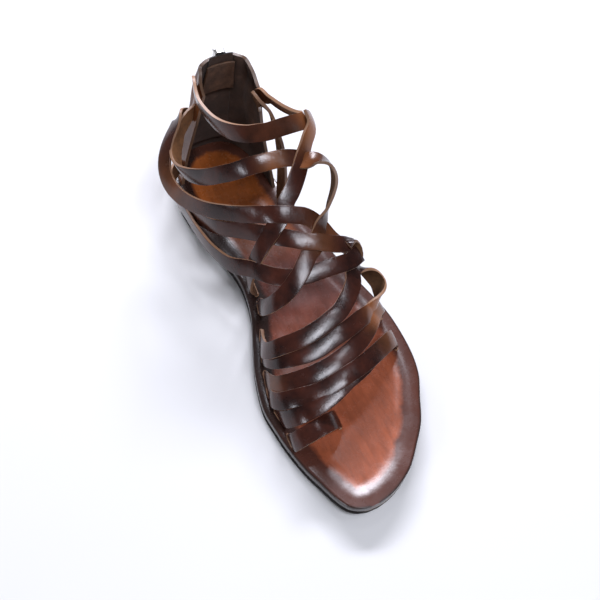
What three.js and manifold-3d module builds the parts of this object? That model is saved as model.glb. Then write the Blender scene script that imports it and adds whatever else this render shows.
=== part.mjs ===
// Crisscross leather sandal for the left foot: flat sole, standing heel counter, back zip
// Millimetres: toe towards -Y, heel towards +Y, outer side towards +X, floor at the lowest Z
import * as THREE from 'three';
import { mergeVertices } from 'three/addons/utils/BufferGeometryUtils.js';
import Module from 'manifold-3d';

const wasm = await Module();
wasm.setup();

// Driving sizes
const length = 262;
const ballWidth = 92;
const instep = 66;
const heelHeight = 7;
const toeSpring = 5;
const counterHeight = 80;
const outsoleThick = 4;
const insoleThick = 3.5;
const rimHeight = 1.4;
const tipRim = 9;
const strapWidth = 9.4;
const strapThick = 2;
const strapStep = 14;
const strapTurn = 0.22;
const counterWall = 2;
const gap = 0.3;
const slotFoot = 1.7;

// Last and sole by share of the length from the heel
// centre and half width in ball widths, height in insteps, heel and spring as shares of their rise
const lastRows = [
  { along: 0.00, centre: -0.04, half: 0.000, height: 1.50, heel: 1.00, spring: 0.00 },
  { along: 0.01, centre: -0.04, half: 0.135, height: 1.50, heel: 1.00, spring: 0.00 },
  { along: 0.03, centre: -0.04, half: 0.215, height: 1.50, heel: 1.00, spring: 0.00 },
  { along: 0.08, centre: -0.04, half: 0.300, height: 1.50, heel: 1.00, spring: 0.00 },
  { along: 0.14, centre: -0.04, half: 0.330, height: 1.48, heel: 1.00, spring: 0.00 },
  { along: 0.20, centre: -0.03, half: 0.332, height: 1.42, heel: 1.00, spring: 0.00 },
  { along: 0.30, centre: 0.01, half: 0.325, height: 1.24, heel: 1.00, spring: 0.00 },
  { along: 0.40, centre: 0.065, half: 0.325, height: 1.02, heel: 0.66, spring: 0.00 },
  { along: 0.50, centre: 0.088, half: 0.367, height: 0.83, heel: 0.22, spring: 0.00 },
  { along: 0.59, centre: 0.075, half: 0.447, height: 0.67, heel: 0.00, spring: 0.00 },
  { along: 0.64, centre: 0.059, half: 0.482, height: 0.60, heel: 0.00, spring: 0.00 },
  { along: 0.72, centre: 0.033, half: 0.503, height: 0.48, heel: 0.00, spring: 0.00 },
  { along: 0.78, centre: 0.021, half: 0.479, height: 0.41, heel: 0.00, spring: 0.00 },
  { along: 0.83, centre: -0.005, half: 0.432, height: 0.35, heel: 0.00, spring: 0.04 },
  { along: 0.88, centre: -0.027, half: 0.377, height: 0.30, heel: 0.00, spring: 0.20 },
  { along: 0.92, centre: -0.056, half: 0.309, height: 0.27, heel: 0.00, spring: 0.42 },
  { along: 0.96, centre: -0.092, half: 0.232, height: 0.24, heel: 0.00, spring: 0.72 },
  { along: 0.985, centre: -0.128, half: 0.150, height: 0.22, heel: 0.00, spring: 0.90 },
  { along: 1.00, centre: -0.150, half: 0.000, height: 0.20, heel: 0.00, spring: 1.00 },
];

// Heel counter by share of its height: sides in ball widths, front edges and back by share of length
const counterRows = [
  { up: 0.00, inner: -0.330, innerFront: 0.118, outer: 0.265, outerFront: 0.225, back: 0.006 },
  { up: 0.25, inner: -0.290, innerFront: 0.114, outer: 0.276, outerFront: 0.175, back: 0.014 },
  { up: 0.50, inner: -0.235, innerFront: 0.110, outer: 0.274, outerFront: 0.140, back: 0.022 },
  { up: 0.75, inner: -0.172, innerFront: 0.106, outer: 0.267, outerFront: 0.126, back: 0.030 },
  { up: 1.00, inner: -0.108, innerFront: 0.100, outer: 0.258, outerFront: 0.118, back: 0.038 },
];
const counterDrop = 0.15;

// Straps as rows on the last: along from the heel, round from the inner edge over the top to the outer
// lift in millimetres off the last, weave in strap thicknesses, roll in degrees about the strap
const straps = [
  {
    name: 'ankle',
    from: { up: 0.90, turn: 0.07 },
    to: { up: 0.78, turn: 0.95 },
    rows: [
      { along: 0.088, round: 0.300, lift: -13.0, roll: 10 },
      { along: 0.110, round: 0.288, lift: -9.3, roll: 25 },
      { along: 0.161, round: 0.284, lift: -7.6, roll: 30 },
      { along: 0.234, round: 0.335, lift: -4.0, roll: 35 },
      { along: 0.290, round: 0.438, lift: 0, roll: 32 },
      { along: 0.303, round: 0.530, lift: 0, roll: 28 },
      { along: 0.304, round: 0.615, lift: 6, roll: 18 },
      { along: 0.298, round: 0.671, lift: 13.5, weave: -0.45 },
      { along: 0.278, round: 0.702, lift: 12 },
      { along: 0.235, round: 0.718, lift: 5 },
      { along: 0.190, round: 0.730, lift: 0 },
      { along: 0.140, round: 0.740, lift: -5 },
    ],
  },
  {
    name: 'ankle return',
    end: 'slot',
    rows: [
      { along: 0.285, round: 0.672, lift: 15, weave: 0.45 },
      { along: 0.312, round: 0.672, lift: 13.5, weave: 0.45 },
      { along: 0.334, round: 0.655, lift: 8.0, weave: 0.45 },
      { along: 0.357, round: 0.628, lift: 3.0, weave: 0.45 },
      { along: 0.412, round: 0.508, lift: 0 },
      { along: 0.443, round: 0.432, lift: 0, weave: -0.45 },
      { along: 0.462, round: 0.345, lift: 0, weave: 0.45 },
      { along: 0.478, round: 0.185, lift: 3, weave: -0.45 },
      { along: 0.474, round: 0.085, lift: 0 },
      { along: 0.452, round: 0.000, lift: -6 },
    ],
  },
  {
    name: 'second',
    from: { up: 0.78, turn: 0.07 },
    rows: [
      { along: 0.080, round: 0.215, lift: -12.5, roll: 20 },
      { along: 0.120, round: 0.146, lift: -5.0, roll: 40 },
      { along: 0.160, round: 0.118, lift: 1.6, roll: 50 },
      { along: 0.211, round: 0.125, lift: 4.8, roll: 20 },
      { along: 0.275, round: 0.182, lift: 2.5 },
      { along: 0.326, round: 0.299, lift: 0 },
      { along: 0.348, round: 0.427, lift: 0 },
      { along: 0.354, round: 0.520, lift: 0 },
      { along: 0.357, round: 0.628, lift: 3.0, weave: -0.45 },
      { along: 0.354, round: 0.650, lift: 4.5, weave: -0.45 },
    ],
  },
  {
    name: 'second return',
    start: 'slot',
    rows: [
      { along: 0.499, round: 0.000, lift: -6 },
      { along: 0.549, round: 0.155, lift: -4 },
      { along: 0.574, round: 0.330, lift: 0 },
      { along: 0.556, round: 0.430, lift: 0, weave: 0.45 },
      { along: 0.529, round: 0.482, lift: 0 },
      { along: 0.511, round: 0.517, lift: 0, weave: -0.45 },
      { along: 0.484, round: 0.563, lift: 0, weave: 0.45, roll: 24 },
      { along: 0.466, round: 0.598, lift: 4.5, roll: 60 },
      { along: 0.437, round: 0.624, lift: 13.5, roll: 60 },
      { along: 0.407, round: 0.628, lift: 16.0, roll: 40 },
      { along: 0.382, round: 0.620, lift: 11.5, roll: 0 },
      { along: 0.362, round: 0.612, lift: 1.5, weave: -0.45, roll: 0 },
    ],
  },
  {
    name: 'side',
    from: { up: 0.72, turn: 0.96 },
    end: 'slot',
    rows: [
      { along: 0.150, round: 0.740, lift: -6 },
      { along: 0.192, round: 0.716, lift: -5 },
      { along: 0.224, round: 0.725, lift: -2.5 },
      { along: 0.246, round: 0.775, lift: -4 },
      { along: 0.252, round: 0.880, lift: -5 },
      { along: 0.255, round: 1.000, lift: -6 },
    ],
  },
  {
    name: 'third',
    from: { up: 0.72, turn: 0.07 },
    end: 'slot',
    rows: [
      { along: 0.072, round: 0.205, lift: -13.0 },
      { along: 0.104, round: 0.160, lift: -4.0, roll: -10 },
      { along: 0.136, round: 0.125, lift: 4.5, roll: -25 },
      { along: 0.176, round: 0.099, lift: 10.0, roll: -35 },
      { along: 0.223, round: 0.097, lift: 12.0, roll: -30 },
      { along: 0.275, round: 0.113, lift: 11.4, roll: -15 },
      { along: 0.331, round: 0.155, lift: 8.4 },
      { along: 0.378, round: 0.220, lift: 2.5 },
      { along: 0.416, round: 0.320, lift: 0 },
      { along: 0.443, round: 0.432, lift: 0, weave: 0.45 },
      { along: 0.459, round: 0.510, lift: 0 },
      { along: 0.482, round: 0.568, lift: 0, weave: -0.45 },
      { along: 0.508, round: 0.604, lift: 0, weave: -0.45 },
      { along: 0.521, round: 0.700, lift: -1.5, weave: -0.45 },
      { along: 0.523, round: 0.850, lift: -4 },
      { along: 0.525, round: 1.000, lift: -6 },
    ],
  },
  {
    name: 'fourth',
    rows: [
      { along: 0.222, round: 0.046, lift: 5.4 },
      { along: 0.297, round: 0.074, lift: 6.9 },
      { along: 0.361, round: 0.133, lift: 6.5 },
      { along: 0.415, round: 0.220, lift: 1.0 },
      { along: 0.462, round: 0.345, lift: 0, weave: -0.45 },
      { along: 0.489, round: 0.440, lift: 0 },
      { along: 0.511, round: 0.517, lift: 0, weave: 0.45 },
      { along: 0.523, round: 0.590, lift: 0, weave: 0.45 },
      { along: 0.524, round: 0.690, lift: 0, weave: 0.45 },
      { along: 0.525, round: 0.730, lift: 1, weave: 0.45 },
    ],
  },
  {
    name: 'fifth',
    from: { up: 0.14, turn: 0.10 },
    rows: [
      { along: 0.090, round: 0.030, lift: -1.0 },
      { along: 0.135, round: 0.035, lift: 2.5 },
      { along: 0.189, round: 0.039, lift: 5.9 },
      { along: 0.260, round: 0.049, lift: 8.1 },
      { along: 0.320, round: 0.062, lift: 10.5 },
      { along: 0.383, round: 0.083, lift: 11.5 },
      { along: 0.438, round: 0.119, lift: 9.0 },
      { along: 0.478, round: 0.185, lift: 3, weave: 0.45 },
      { along: 0.524, round: 0.290, lift: 0 },
      { along: 0.556, round: 0.430, lift: 0, weave: -0.45 },
      { along: 0.561, round: 0.525, lift: 0 },
      { along: 0.559, round: 0.628, lift: 0, weave: 0.45 },
      { along: 0.543, round: 0.715, lift: 1, weave: 0.45 },
    ],
  },
  {
    name: 'small loop',
    crossesItself: true,
    rows: [
      { along: 0.522, round: 0.650, lift: 1.2, roll: -20 },
      { along: 0.516, round: 0.684, lift: 1.0, roll: -60 },
      { along: 0.520, round: 0.704, lift: 0.8, roll: -90 },
      { along: 0.532, round: 0.710, lift: 0.6, roll: -110 },
      { along: 0.546, round: 0.690, lift: 0.4, roll: -150 },
    ],
  },
  {
    name: 'sixth',
    crossesItself: true,
    start: 'slot',
    end: 'slot',
    rows: [
      { along: 0.566, round: 0.000, lift: -6 },
      { along: 0.630, round: 0.140, lift: -4, weave: 0.45 },
      { along: 0.661, round: 0.305, lift: 0, weave: 0.45 },
      { along: 0.666, round: 0.423, lift: 0, weave: 0.45 },
      { along: 0.655, round: 0.495, lift: 0, weave: 0.45 },
      { along: 0.633, round: 0.542, lift: 0 },
      { along: 0.603, round: 0.597, lift: 0 },
      { along: 0.572, round: 0.640, lift: 0, weave: -0.45 },
      { along: 0.563, round: 0.700, lift: -1.5, weave: -0.45, roll: -30 },
      { along: 0.576, round: 0.770, lift: -0.8, roll: -75 },
      { along: 0.595, round: 0.798, lift: -0.4, roll: -90 },
      { along: 0.619, round: 0.782, lift: -3.0, roll: -60 },
      { along: 0.644, round: 0.710, lift: -7.0, weave: -0.45, roll: -20 },
      { along: 0.666, round: 0.588, lift: -4.0 },
      { along: 0.686, round: 0.505, lift: 0 },
      { along: 0.697, round: 0.435, lift: 0 },
      { along: 0.692, round: 0.345, lift: 0 },
      { along: 0.658, round: 0.175, lift: -4 },
      { along: 0.607, round: 0.000, lift: -6 },
    ],
  },
  {
    name: 'seventh',
    start: 'slot',
    end: 'slot',
    rows: [
      { along: 0.662, round: 0.000, lift: -6 },
      { along: 0.707, round: 0.170, lift: -3, weave: -0.45 },
      { along: 0.729, round: 0.305, lift: 0, weave: -0.45 },
      { along: 0.736, round: 0.400, lift: 0 },
      { along: 0.732, round: 0.475, lift: 0 },
      { along: 0.714, round: 0.538, lift: -1.5 },
      { along: 0.680, round: 0.632, lift: -6 },
      { along: 0.650, round: 0.730, lift: -7.5, weave: -0.45 },
      { along: 0.624, round: 0.870, lift: -7 },
      { along: 0.612, round: 1.000, lift: -7 },
    ],
  },
  {
    name: 'eighth',
    start: 'slot',
    end: 'slot',
    rows: [
      { along: 0.692, round: 0.000, lift: -6 },
      { along: 0.740, round: 0.160, lift: -3, weave: 0.45 },
      { along: 0.762, round: 0.297, lift: 0 },
      { along: 0.771, round: 0.390, lift: 0 },
      { along: 0.767, round: 0.473, lift: 0, weave: 0.45 },
      { along: 0.752, round: 0.542, lift: -2 },
      { along: 0.726, round: 0.660, lift: -8 },
      { along: 0.703, round: 0.830, lift: -9 },
      { along: 0.693, round: 1.000, lift: -8 },
    ],
  },
  {
    name: 'front',
    start: 'slot',
    rows: [
      { along: 0.752, round: 0.000, lift: -6 },
      { along: 0.778, round: 0.140, lift: -3.5 },
      { along: 0.794, round: 0.297, lift: 0 },
      { along: 0.793, round: 0.379, lift: 0 },
      { along: 0.784, round: 0.445, lift: 0 },
      { along: 0.767, round: 0.503, lift: 0, weave: -0.45 },
      { along: 0.746, round: 0.567, lift: -3.3, weave: -0.45 },
    ],
  },
];

// Toe loop as rows: across in ball widths from the centre line, up in millimetres over the footbed
const toeLoopRows = [
  { along: 0.812, across: -0.405, up: 0, face: 180 },
  { along: 0.826, across: -0.410, up: 10, face: 165 },
  { along: 0.832, across: -0.345, up: 17.5, face: 110 },
  { along: 0.829, across: -0.240, up: 19, face: 75 },
  { along: 0.818, across: -0.140, up: 12, face: 20 },
  { along: 0.806, across: -0.105, up: 0, face: 0 },
];

// Reader: smooth curve through one column of a table
function reader(rows, knob, key, power = 1) {
  const x = rows.map((row) => row[knob]);
  const y = rows.map((row) => row[key] ** power);
  const last = rows.length - 1;
  const slope = x.map((_, i) => {
    const a = Math.max(i - 1, 0);
    const b = Math.min(i + 1, last);
    const isPeak = i > 0 && i < last && (y[i] - y[a]) * (y[b] - y[i]) <= 0;
    return isPeak ? 0 : (y[b] - y[a]) / (x[b] - x[a]);
  });
  return (at) => {
    let k = 0;
    while (k < last - 1 && at > x[k + 1]) k += 1;
    const h = x[k + 1] - x[k];
    const t = THREE.MathUtils.clamp((at - x[k]) / h, 0, 1);
    if (at > x[last]) return y[last] + slope[last] * (at - x[last]);
    const value = (2 * t ** 3 - 3 * t ** 2 + 1) * y[k]
      + (t ** 3 - 2 * t ** 2 + t) * h * slope[k]
      + (3 * t ** 2 - 2 * t ** 3) * y[k + 1]
      + (t ** 3 - t ** 2) * h * slope[k + 1];
    return power === 1 ? value : Math.max(value, 0) ** (1 / power);
  };
}

const centreAt = reader(lastRows, 'along', 'centre');
const halfAt = reader(lastRows, 'along', 'half', 2);
const heightAt = reader(lastRows, 'along', 'height');
const heelAt = reader(lastRows, 'along', 'heel');
const springAt = reader(lastRows, 'along', 'spring');

const sectionY = (along) => length / 2 - along * length;
const groundAt = (along) => heelHeight * heelAt(along) + toeSpring * springAt(along);
const outsoleTop = (along) => groundAt(along) + outsoleThick;
const insoleBottom = (along) => outsoleTop(along) + gap;
const footbed = (along) => insoleBottom(along) + insoleThick;

// Point on the last at a share of the length and of the girth, lifted along the section's normal
const lastPower = 0.8;
function lastPoint(along, round, lift = 0) {
  const half = halfAt(along) * ballWidth;
  const height = heightAt(along) * instep;
  const angle = Math.PI * THREE.MathUtils.clamp(round, 0, 1);
  const c = Math.cos(angle);
  const s = Math.max(Math.sin(angle), 0);
  const normal = new THREE.Vector2(-c / half, s / height).normalize();
  return new THREE.Vector3(
    centreAt(along) * ballWidth - half * Math.sign(c) * Math.abs(c) ** lastPower + normal.x * lift,
    sectionY(along),
    footbed(along) + height * s ** lastPower + normal.y * lift,
  );
}

// Outward normal of the last, from two steps along its surface
function lastNormal(along, round) {
  const r = THREE.MathUtils.clamp(round, 0.03, 0.97);
  const step = 0.01;
  const girth = lastPoint(along, r + step).sub(lastPoint(along, r - step));
  const run = lastPoint(along + step, r).sub(lastPoint(along - step, r));
  return girth.cross(run).multiplyScalar(-1).normalize();
}

// Closed mesh from rings of equal even count, capped at both ends by pairing the first half with the second
function loft(rings) {
  const count = rings[0].length;
  const position = rings.flat().flatMap((p) => [p.x, p.y, p.z]);
  const index = [];
  for (let i = 0; i < rings.length - 1; i += 1) {
    for (let j = 0; j < count; j += 1) {
      const a = i * count + j;
      const b = i * count + ((j + 1) % count);
      index.push(a, b, a + count, b, b + count, a + count);
    }
  }
  const tail = (rings.length - 1) * count;
  for (let j = 0; j < count / 2 - 1; j += 1) {
    const [a, b, c, d] = [j, j + 1, count - 2 - j, count - 1 - j];
    index.push(a, d, b, b, d, c);
    index.push(tail + a, tail + b, tail + d, tail + b, tail + c, tail + d);
  }
  const geometry = new THREE.BufferGeometry();
  geometry.setAttribute('position', new THREE.Float32BufferAttribute(position, 3));
  geometry.setIndex(index);
  return geometry;
}

// Manifold solid of a geometry, turned inside out if its faces point inwards
function solid(geometry) {
  const plain = geometry.clone();
  plain.deleteAttribute('normal');
  plain.deleteAttribute('uv');
  const merged = mergeVertices(plain, 1e-5);
  const vertProperties = new Float32Array(merged.attributes.position.array);
  const triVerts = new Uint32Array(merged.index.array);
  const made = new wasm.Manifold(new wasm.Mesh({ numProp: 3, vertProperties, triVerts }));
  if (made.volume() > 0) return made;
  for (let i = 0; i < triVerts.length; i += 3) {
    [triVerts[i + 1], triVerts[i + 2]] = [triVerts[i + 2], triVerts[i + 1]];
  }
  return new wasm.Manifold(new wasm.Mesh({ numProp: 3, vertProperties, triVerts }));
}

const union = (list) => list.reduce((sum, next) => sum.add(next));

// Largest body of a cut solid, without slivers
const mainBody = (made) => made.decompose().reduce((best, next) => (next.volume() > best.volume() ? next : best));

function meshOf(name, made, color, roughness = 0.6, metalness = 0) {
  const { vertProperties, triVerts, numProp } = made.getMesh();
  const position = [];
  for (let i = 0; i < vertProperties.length; i += numProp) {
    position.push(vertProperties[i], vertProperties[i + 1], vertProperties[i + 2]);
  }
  const geometry = new THREE.BufferGeometry();
  geometry.setAttribute('position', new THREE.Float32BufferAttribute(position, 3));
  geometry.setIndex(Array.from(triVerts));
  geometry.computeVertexNormals();
  const material = new THREE.MeshStandardMaterial({ color, roughness, metalness });
  const mesh = new THREE.Mesh(geometry, material);
  mesh.name = name;
  return mesh;
}

// Slab of the sole between two heights, with chamfered edges and an optional raised rim
function slab({ from = 0.0008, to = 0.9992, scale = 1, bottom, top, rim = 0, stations = 44, columns = 8 }) {
  const chamfer = 0.6;
  const rings = [];
  for (let k = 0; k <= stations; k += 1) {
    const wave = (1 - Math.cos((Math.PI * k) / stations)) / 2;
    const along = from + (to - from) * wave;
    const shrunk = 0.5 + (along - 0.5) * scale;
    const half = Math.max(halfAt(along) * ballWidth * scale, 1.2);
    const edge = Math.min(chamfer, half / 3);
    const centre = centreAt(along) * ballWidth;
    const low = bottom(shrunk);
    const high = top(shrunk);
    const fromTip = Math.min(k, stations - k) ? Math.min(along, 1 - along) * length : 0;
    const tip = Math.max(1 - fromTip / tipRim, 0) ** 2;
    const ring = [];
    const put = (x, z) => ring.push(new THREE.Vector3(centre + x, sectionY(shrunk), z));
    for (let j = 0; j <= 4; j += 1) {
      put((half - edge) * (j / 2 - 1), low);
    }
    put(half, low + edge);
    put(half, high + rim - edge);
    for (let j = 0; j <= columns; j += 1) {
      const side = 1 - (2 * j) / columns;
      put((half - edge) * side, high + rim * Math.max(Math.abs(side) ** 5, tip));
    }
    put(-half, high + rim - edge);
    put(-half, low + edge);
    rings.push(ring);
  }
  return solid(loft(rings));
}

// Heel counter: levels of a rounded U, each a closed outline with the wall's thickness
const counterAt = Object.fromEntries(
  ['inner', 'innerFront', 'outer', 'outerFront', 'back'].map((key) => [key, reader(counterRows, 'up', key)]),
);
const flare = 0.72;
function counterPlan(up, turn, off) {
  const spot = (angle) => {
    const c = Math.cos(angle);
    const s = Math.sin(angle);
    const left = counterAt.inner(up) * ballWidth;
    const right = counterAt.outer(up) * ballWidth;
    const middle = (left + right) / 2;
    const front = sectionY(c > 0 ? counterAt.innerFront(up) : counterAt.outerFront(up));
    const back = sectionY(counterAt.back(up));
    const x = middle - ((right - left) / 2) * Math.sign(c) * Math.abs(c) ** flare;
    return new THREE.Vector2(x, front + (back - front) * s ** flare);
  };
  const angle = Math.PI * turn;
  const step = 0.02;
  const run = spot(Math.min(angle + step, Math.PI - 0.001)).sub(spot(Math.max(angle - step, 0.001)));
  const normal = new THREE.Vector2(-run.y, run.x).normalize();
  return spot(THREE.MathUtils.clamp(angle, 0.001, Math.PI - 0.001)).addScaledVector(normal, off);
}
const counterLift = (up, turn) => up * counterHeight * (1 - counterDrop * (1 - Math.sin(Math.PI * turn)) ** 2);

// Upright wall between two distances off the counter's outer face
function wall({
  outer, inner, upFrom = 0, upTo = 1, turnFrom = 0, turnTo = 1, levels = 8, turns = 24, depth = 0, beyond = 0,
}) {
  const rings = [];
  for (let j = 0; j <= turns; j += 1) {
    const wave = (1 - Math.cos((Math.PI * j) / turns)) / 2;
    const turn = turnFrom + (turnTo - turnFrom) * (wave * 0.35 + (j / turns) * 0.65);
    const ring = [];
    const put = (k, off) => {
      const up = upFrom + ((upTo - upFrom) * k) / levels;
      const p = counterPlan(up, turn, off);
      p.y -= j % turns === 0 ? beyond : 0;
      const along = THREE.MathUtils.clamp((length / 2 - p.y) / length, 0, 0.3);
      const low = k === 0 ? depth : 0;
      ring.push(new THREE.Vector3(p.x, p.y, insoleBottom(along) + gap - low + counterLift(up, turn)));
    };
    for (let k = 0; k <= levels; k += 1) put(k, outer);
    for (let k = levels; k >= 0; k -= 1) put(k, inner);
    rings.push(ring);
  }
  return solid(loft(rings));
}

// Station in the middle of the counter's wall, facing outwards, for a strap that is joined there
function counterStation({ up, turn }, next, sign) {
  const at = (off) => {
    const p = counterPlan(up, turn, off);
    return new THREE.Vector3(p.x, p.y, insoleBottom(0.1) + counterLift(up, turn));
  };
  const place = at(-counterWall / 2);
  const outward = at(0).sub(place).normalize();
  const tangent = next.clone().sub(place).normalize().multiplyScalar(sign);
  return { place, tangent, outward, along: 0.1 };
}

// Strap section: flat back, softly rounded face
function strapRing(place, side, normal, wide, thick) {
  const w = wide / 2;
  const t = thick / 2;
  const outline = [
    [-w, -t], [w, -t], [w, t * 0.4], [w * 0.86, t], [-w * 0.86, t], [-w, t * 0.4],
  ];
  return outline.map(([a, b]) => place.clone().addScaledVector(side, a).addScaledVector(normal, b));
}

// A foot needs room for the bend above it, so stations close to its top are dropped
function clearFeet(list, hasStart, hasEnd) {
  const isNear = (a, b) => list[a].place.distanceTo(list[b].place) < strapWidth * 0.8;
  while (hasStart && isNear(1, 2)) list.splice(2, 1);
  while (hasEnd && isNear(list.length - 2, list.length - 3)) list.splice(-3, 1);
  return list;
}

// Stations of one strap: place, side and normal, with an upright foot where it goes into a slot
function strapStations(strap) {
  const knots = strap.rows.map((row) => new THREE.Vector3(row.along * 10, row.round * 10, 0));
  const curve = new THREE.CatmullRomCurve3(knots, false, 'centripetal');
  const last = strap.rows.length - 1;
  const column = (key, t) => {
    const k = Math.min(Math.floor(t * last), last - 1);
    const local = t * last - k;
    const at = (i) => strap.rows[THREE.MathUtils.clamp(i, 0, last)][key] ?? 0;
    const [a, b, c, d] = [at(k - 1), at(k), at(k + 1), at(k + 2)];
    const ease = b + 0.5 * local * (c - a + local * (2 * a - 5 * b + 4 * c - d
      + local * (3 * (b - c) + d - a)));
    return THREE.MathUtils.clamp(ease, Math.min(b, c), Math.max(b, c));
  };
  const sample = (t) => {
    const at = curve.getPoint(t);
    const lift = column('lift', t) + column('weave', t) * strapThick;
    return { at, place: lastPoint(at.x / 10, at.y / 10, lift), roll: column('roll', t) };
  };
  const shares = [];
  for (let k = 0; k < last; k += 1) {
    const [a, b, c] = [0, 0.5, 1].map((part) => sample((k + part) / last).place);
    const turn = b.clone().sub(a).angleTo(c.clone().sub(b));
    const parts = Math.max(Math.round(a.distanceTo(c) / strapStep + turn / strapTurn), 1);
    for (let j = 0; j < parts; j += 1) shares.push((k + j / parts) / last);
  }
  shares.push(1);
  const list = [];
  for (const t of shares) {
    const here = sample(t);
    const before = sample(Math.max(t - 0.004, 0)).place;
    const tangent = sample(Math.min(t + 0.004, 1)).place.sub(before).normalize();
    const outward = lastNormal(here.at.x / 10, here.at.y / 10);
    outward.applyAxisAngle(tangent, THREE.MathUtils.degToRad(here.roll));
    list.push({ place: here.place, tangent, outward, along: here.at.x / 10 });
  }
  const foot = (station, sign) => {
    const top = station.place.clone();
    top.z = footbed(station.along) + 1.2;
    const bottom = top.clone();
    bottom.z = insoleBottom(station.along) + slotFoot;
    const tangent = new THREE.Vector3(0, 0, sign);
    return [bottom, top].map((place) => ({ place, tangent, outward: station.outward }));
  };
  if (strap.start === 'slot') list.splice(0, 1, ...foot(list[0], 1));
  if (strap.end === 'slot') list.splice(-1, 1, ...foot(list[list.length - 1], -1).reverse());
  if (strap.from) list.splice(0, 1, counterStation(strap.from, list[1].place, 1));
  if (strap.to) list.splice(-1, 1, counterStation(strap.to, list[list.length - 2].place, -1));
  return clearFeet(list, strap.start === 'slot', strap.end === 'slot');
}

// Strap along its stations, in two halves where it crosses itself; a grown one also runs on at its ends
function sweep(stations, wide, thick, grow = 0, crossesItself = false) {
  const rings = stations.map(({ place, tangent, outward }, i) => {
    const side = tangent.clone().cross(outward).normalize();
    const normal = side.clone().cross(tangent).normalize();
    const spot = place.clone();
    const isEnd = i === 0 || i === stations.length - 1;
    if (grow && isEnd) spot.addScaledVector(tangent, i === 0 ? -3 : 3);
    return strapRing(spot, side, normal, wide + 2 * grow, thick + 2 * grow);
  });
  if (!crossesItself) return solid(loft(rings));
  const half = Math.floor(rings.length / 2);
  return solid(loft(rings.slice(0, half + 1))).add(solid(loft(rings.slice(half))));
}

const strapLists = straps.map(strapStations);
const strapSolid = (strap, i, grow = 0) => sweep(strapLists[i], strapWidth, strapThick, grow, strap.crossesItself);
const strapSolids = straps.map((strap, i) => strapSolid(strap, i));

// Toe loop: stations from its own rows
function toeLoopStations() {
  const knots = toeLoopRows.map((row) => new THREE.Vector3(
    row.across * ballWidth, sectionY(row.along), footbed(row.along) + row.up,
  ));
  const curve = new THREE.CatmullRomCurve3(knots, false, 'centripetal');
  const last = toeLoopRows.length - 1;
  const steps = last * 4;
  const list = [];
  for (let i = 0; i <= steps; i += 1) {
    const t = i / steps;
    const k = Math.min(Math.floor(t * last), last - 1);
    const face = THREE.MathUtils.lerp(toeLoopRows[k].face, toeLoopRows[k + 1].face, t * last - k);
    const angle = THREE.MathUtils.degToRad(face);
    const tangent = curve.getTangent(t);
    const outward = new THREE.Vector3(Math.cos(angle), 0, Math.sin(angle));
    list.push({ place: curve.getPoint(t), tangent, outward });
  }
  const foot = (row, sign) => {
    const x = row.across * ballWidth;
    const angle = THREE.MathUtils.degToRad(row.face);
    const outward = new THREE.Vector3(Math.cos(angle), 0, Math.sin(angle));
    const heights = [insoleBottom(row.along) + slotFoot, footbed(row.along) + 1.2];
    return heights.map((z) => ({
      place: new THREE.Vector3(x, sectionY(row.along), z),
      tangent: new THREE.Vector3(0, 0, sign),
      outward,
    }));
  };
  list.splice(0, 1, ...foot(toeLoopRows[0], 1));
  list.splice(-1, 1, ...foot(toeLoopRows[last], -1).reverse());
  return clearFeet(list, true, true);
}
const toeLoopList = toeLoopStations();

// Zip frame: origin at the foot of the back, X across, Y outward, Z up along the back
const tapeThick = 0.8;
const guardThick = 1.2;
const slitWidth = 7.4;
const slitFrom = 16;
const chainWidth = 4.4;
const toothPitch = 3;
const sliderHigh = 9;
const pinRadius = 0.6;
const pinOut = 3.6;
const pullLength = 21;
const pullThick = 1.2;
const backPoint = (up) => {
  const p = counterPlan(up, 0.5, 0);
  return new THREE.Vector3(p.x, p.y, insoleBottom(0.02) + up * counterHeight);
};
const zipFoot = backPoint(0);
const zipUp = backPoint(1).sub(zipFoot).normalize();
const zipOut = new THREE.Vector3(0, 1, 0).addScaledVector(zipUp, -zipUp.y).normalize();
const zipAcross = zipOut.clone().cross(zipUp).normalize();
const zipFrame = new THREE.Matrix4().makeBasis(zipAcross, zipOut, zipUp).setPosition(zipFoot);
const zipHigh = backPoint(1).distanceTo(zipFoot);
const inZip = (geometry) => solid(geometry.applyMatrix4(zipFrame));
const block = (x, y, z, at) => new THREE.BoxGeometry(x, y, z).translate(...at);
const barAlongX = (radius, long, sides = 20) => new THREE.CylinderGeometry(radius, radius, long, sides)
  .rotateZ(Math.PI / 2);

const slit = inZip(block(slitWidth, 12, zipHigh, [0, 0, slitFrom + zipHigh / 2]));
const counter = wall({ outer: 0, inner: -counterWall }).subtract(slit);

const tapeFront = -counterWall - gap * 1.5;
const tape = wall({
  outer: tapeFront, inner: tapeFront - tapeThick, upFrom: 0.14, upTo: 1.03, turnFrom: 0.38, turnTo: 0.62,
  levels: 8, turns: 8,
});
const guardFront = tapeFront - tapeThick - gap;
const guard = wall({
  outer: guardFront, inner: guardFront - guardThick, upFrom: 0.7, upTo: 0.96, turnFrom: 0.34, turnTo: 0.66,
  levels: 4, turns: 10,
});

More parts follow.
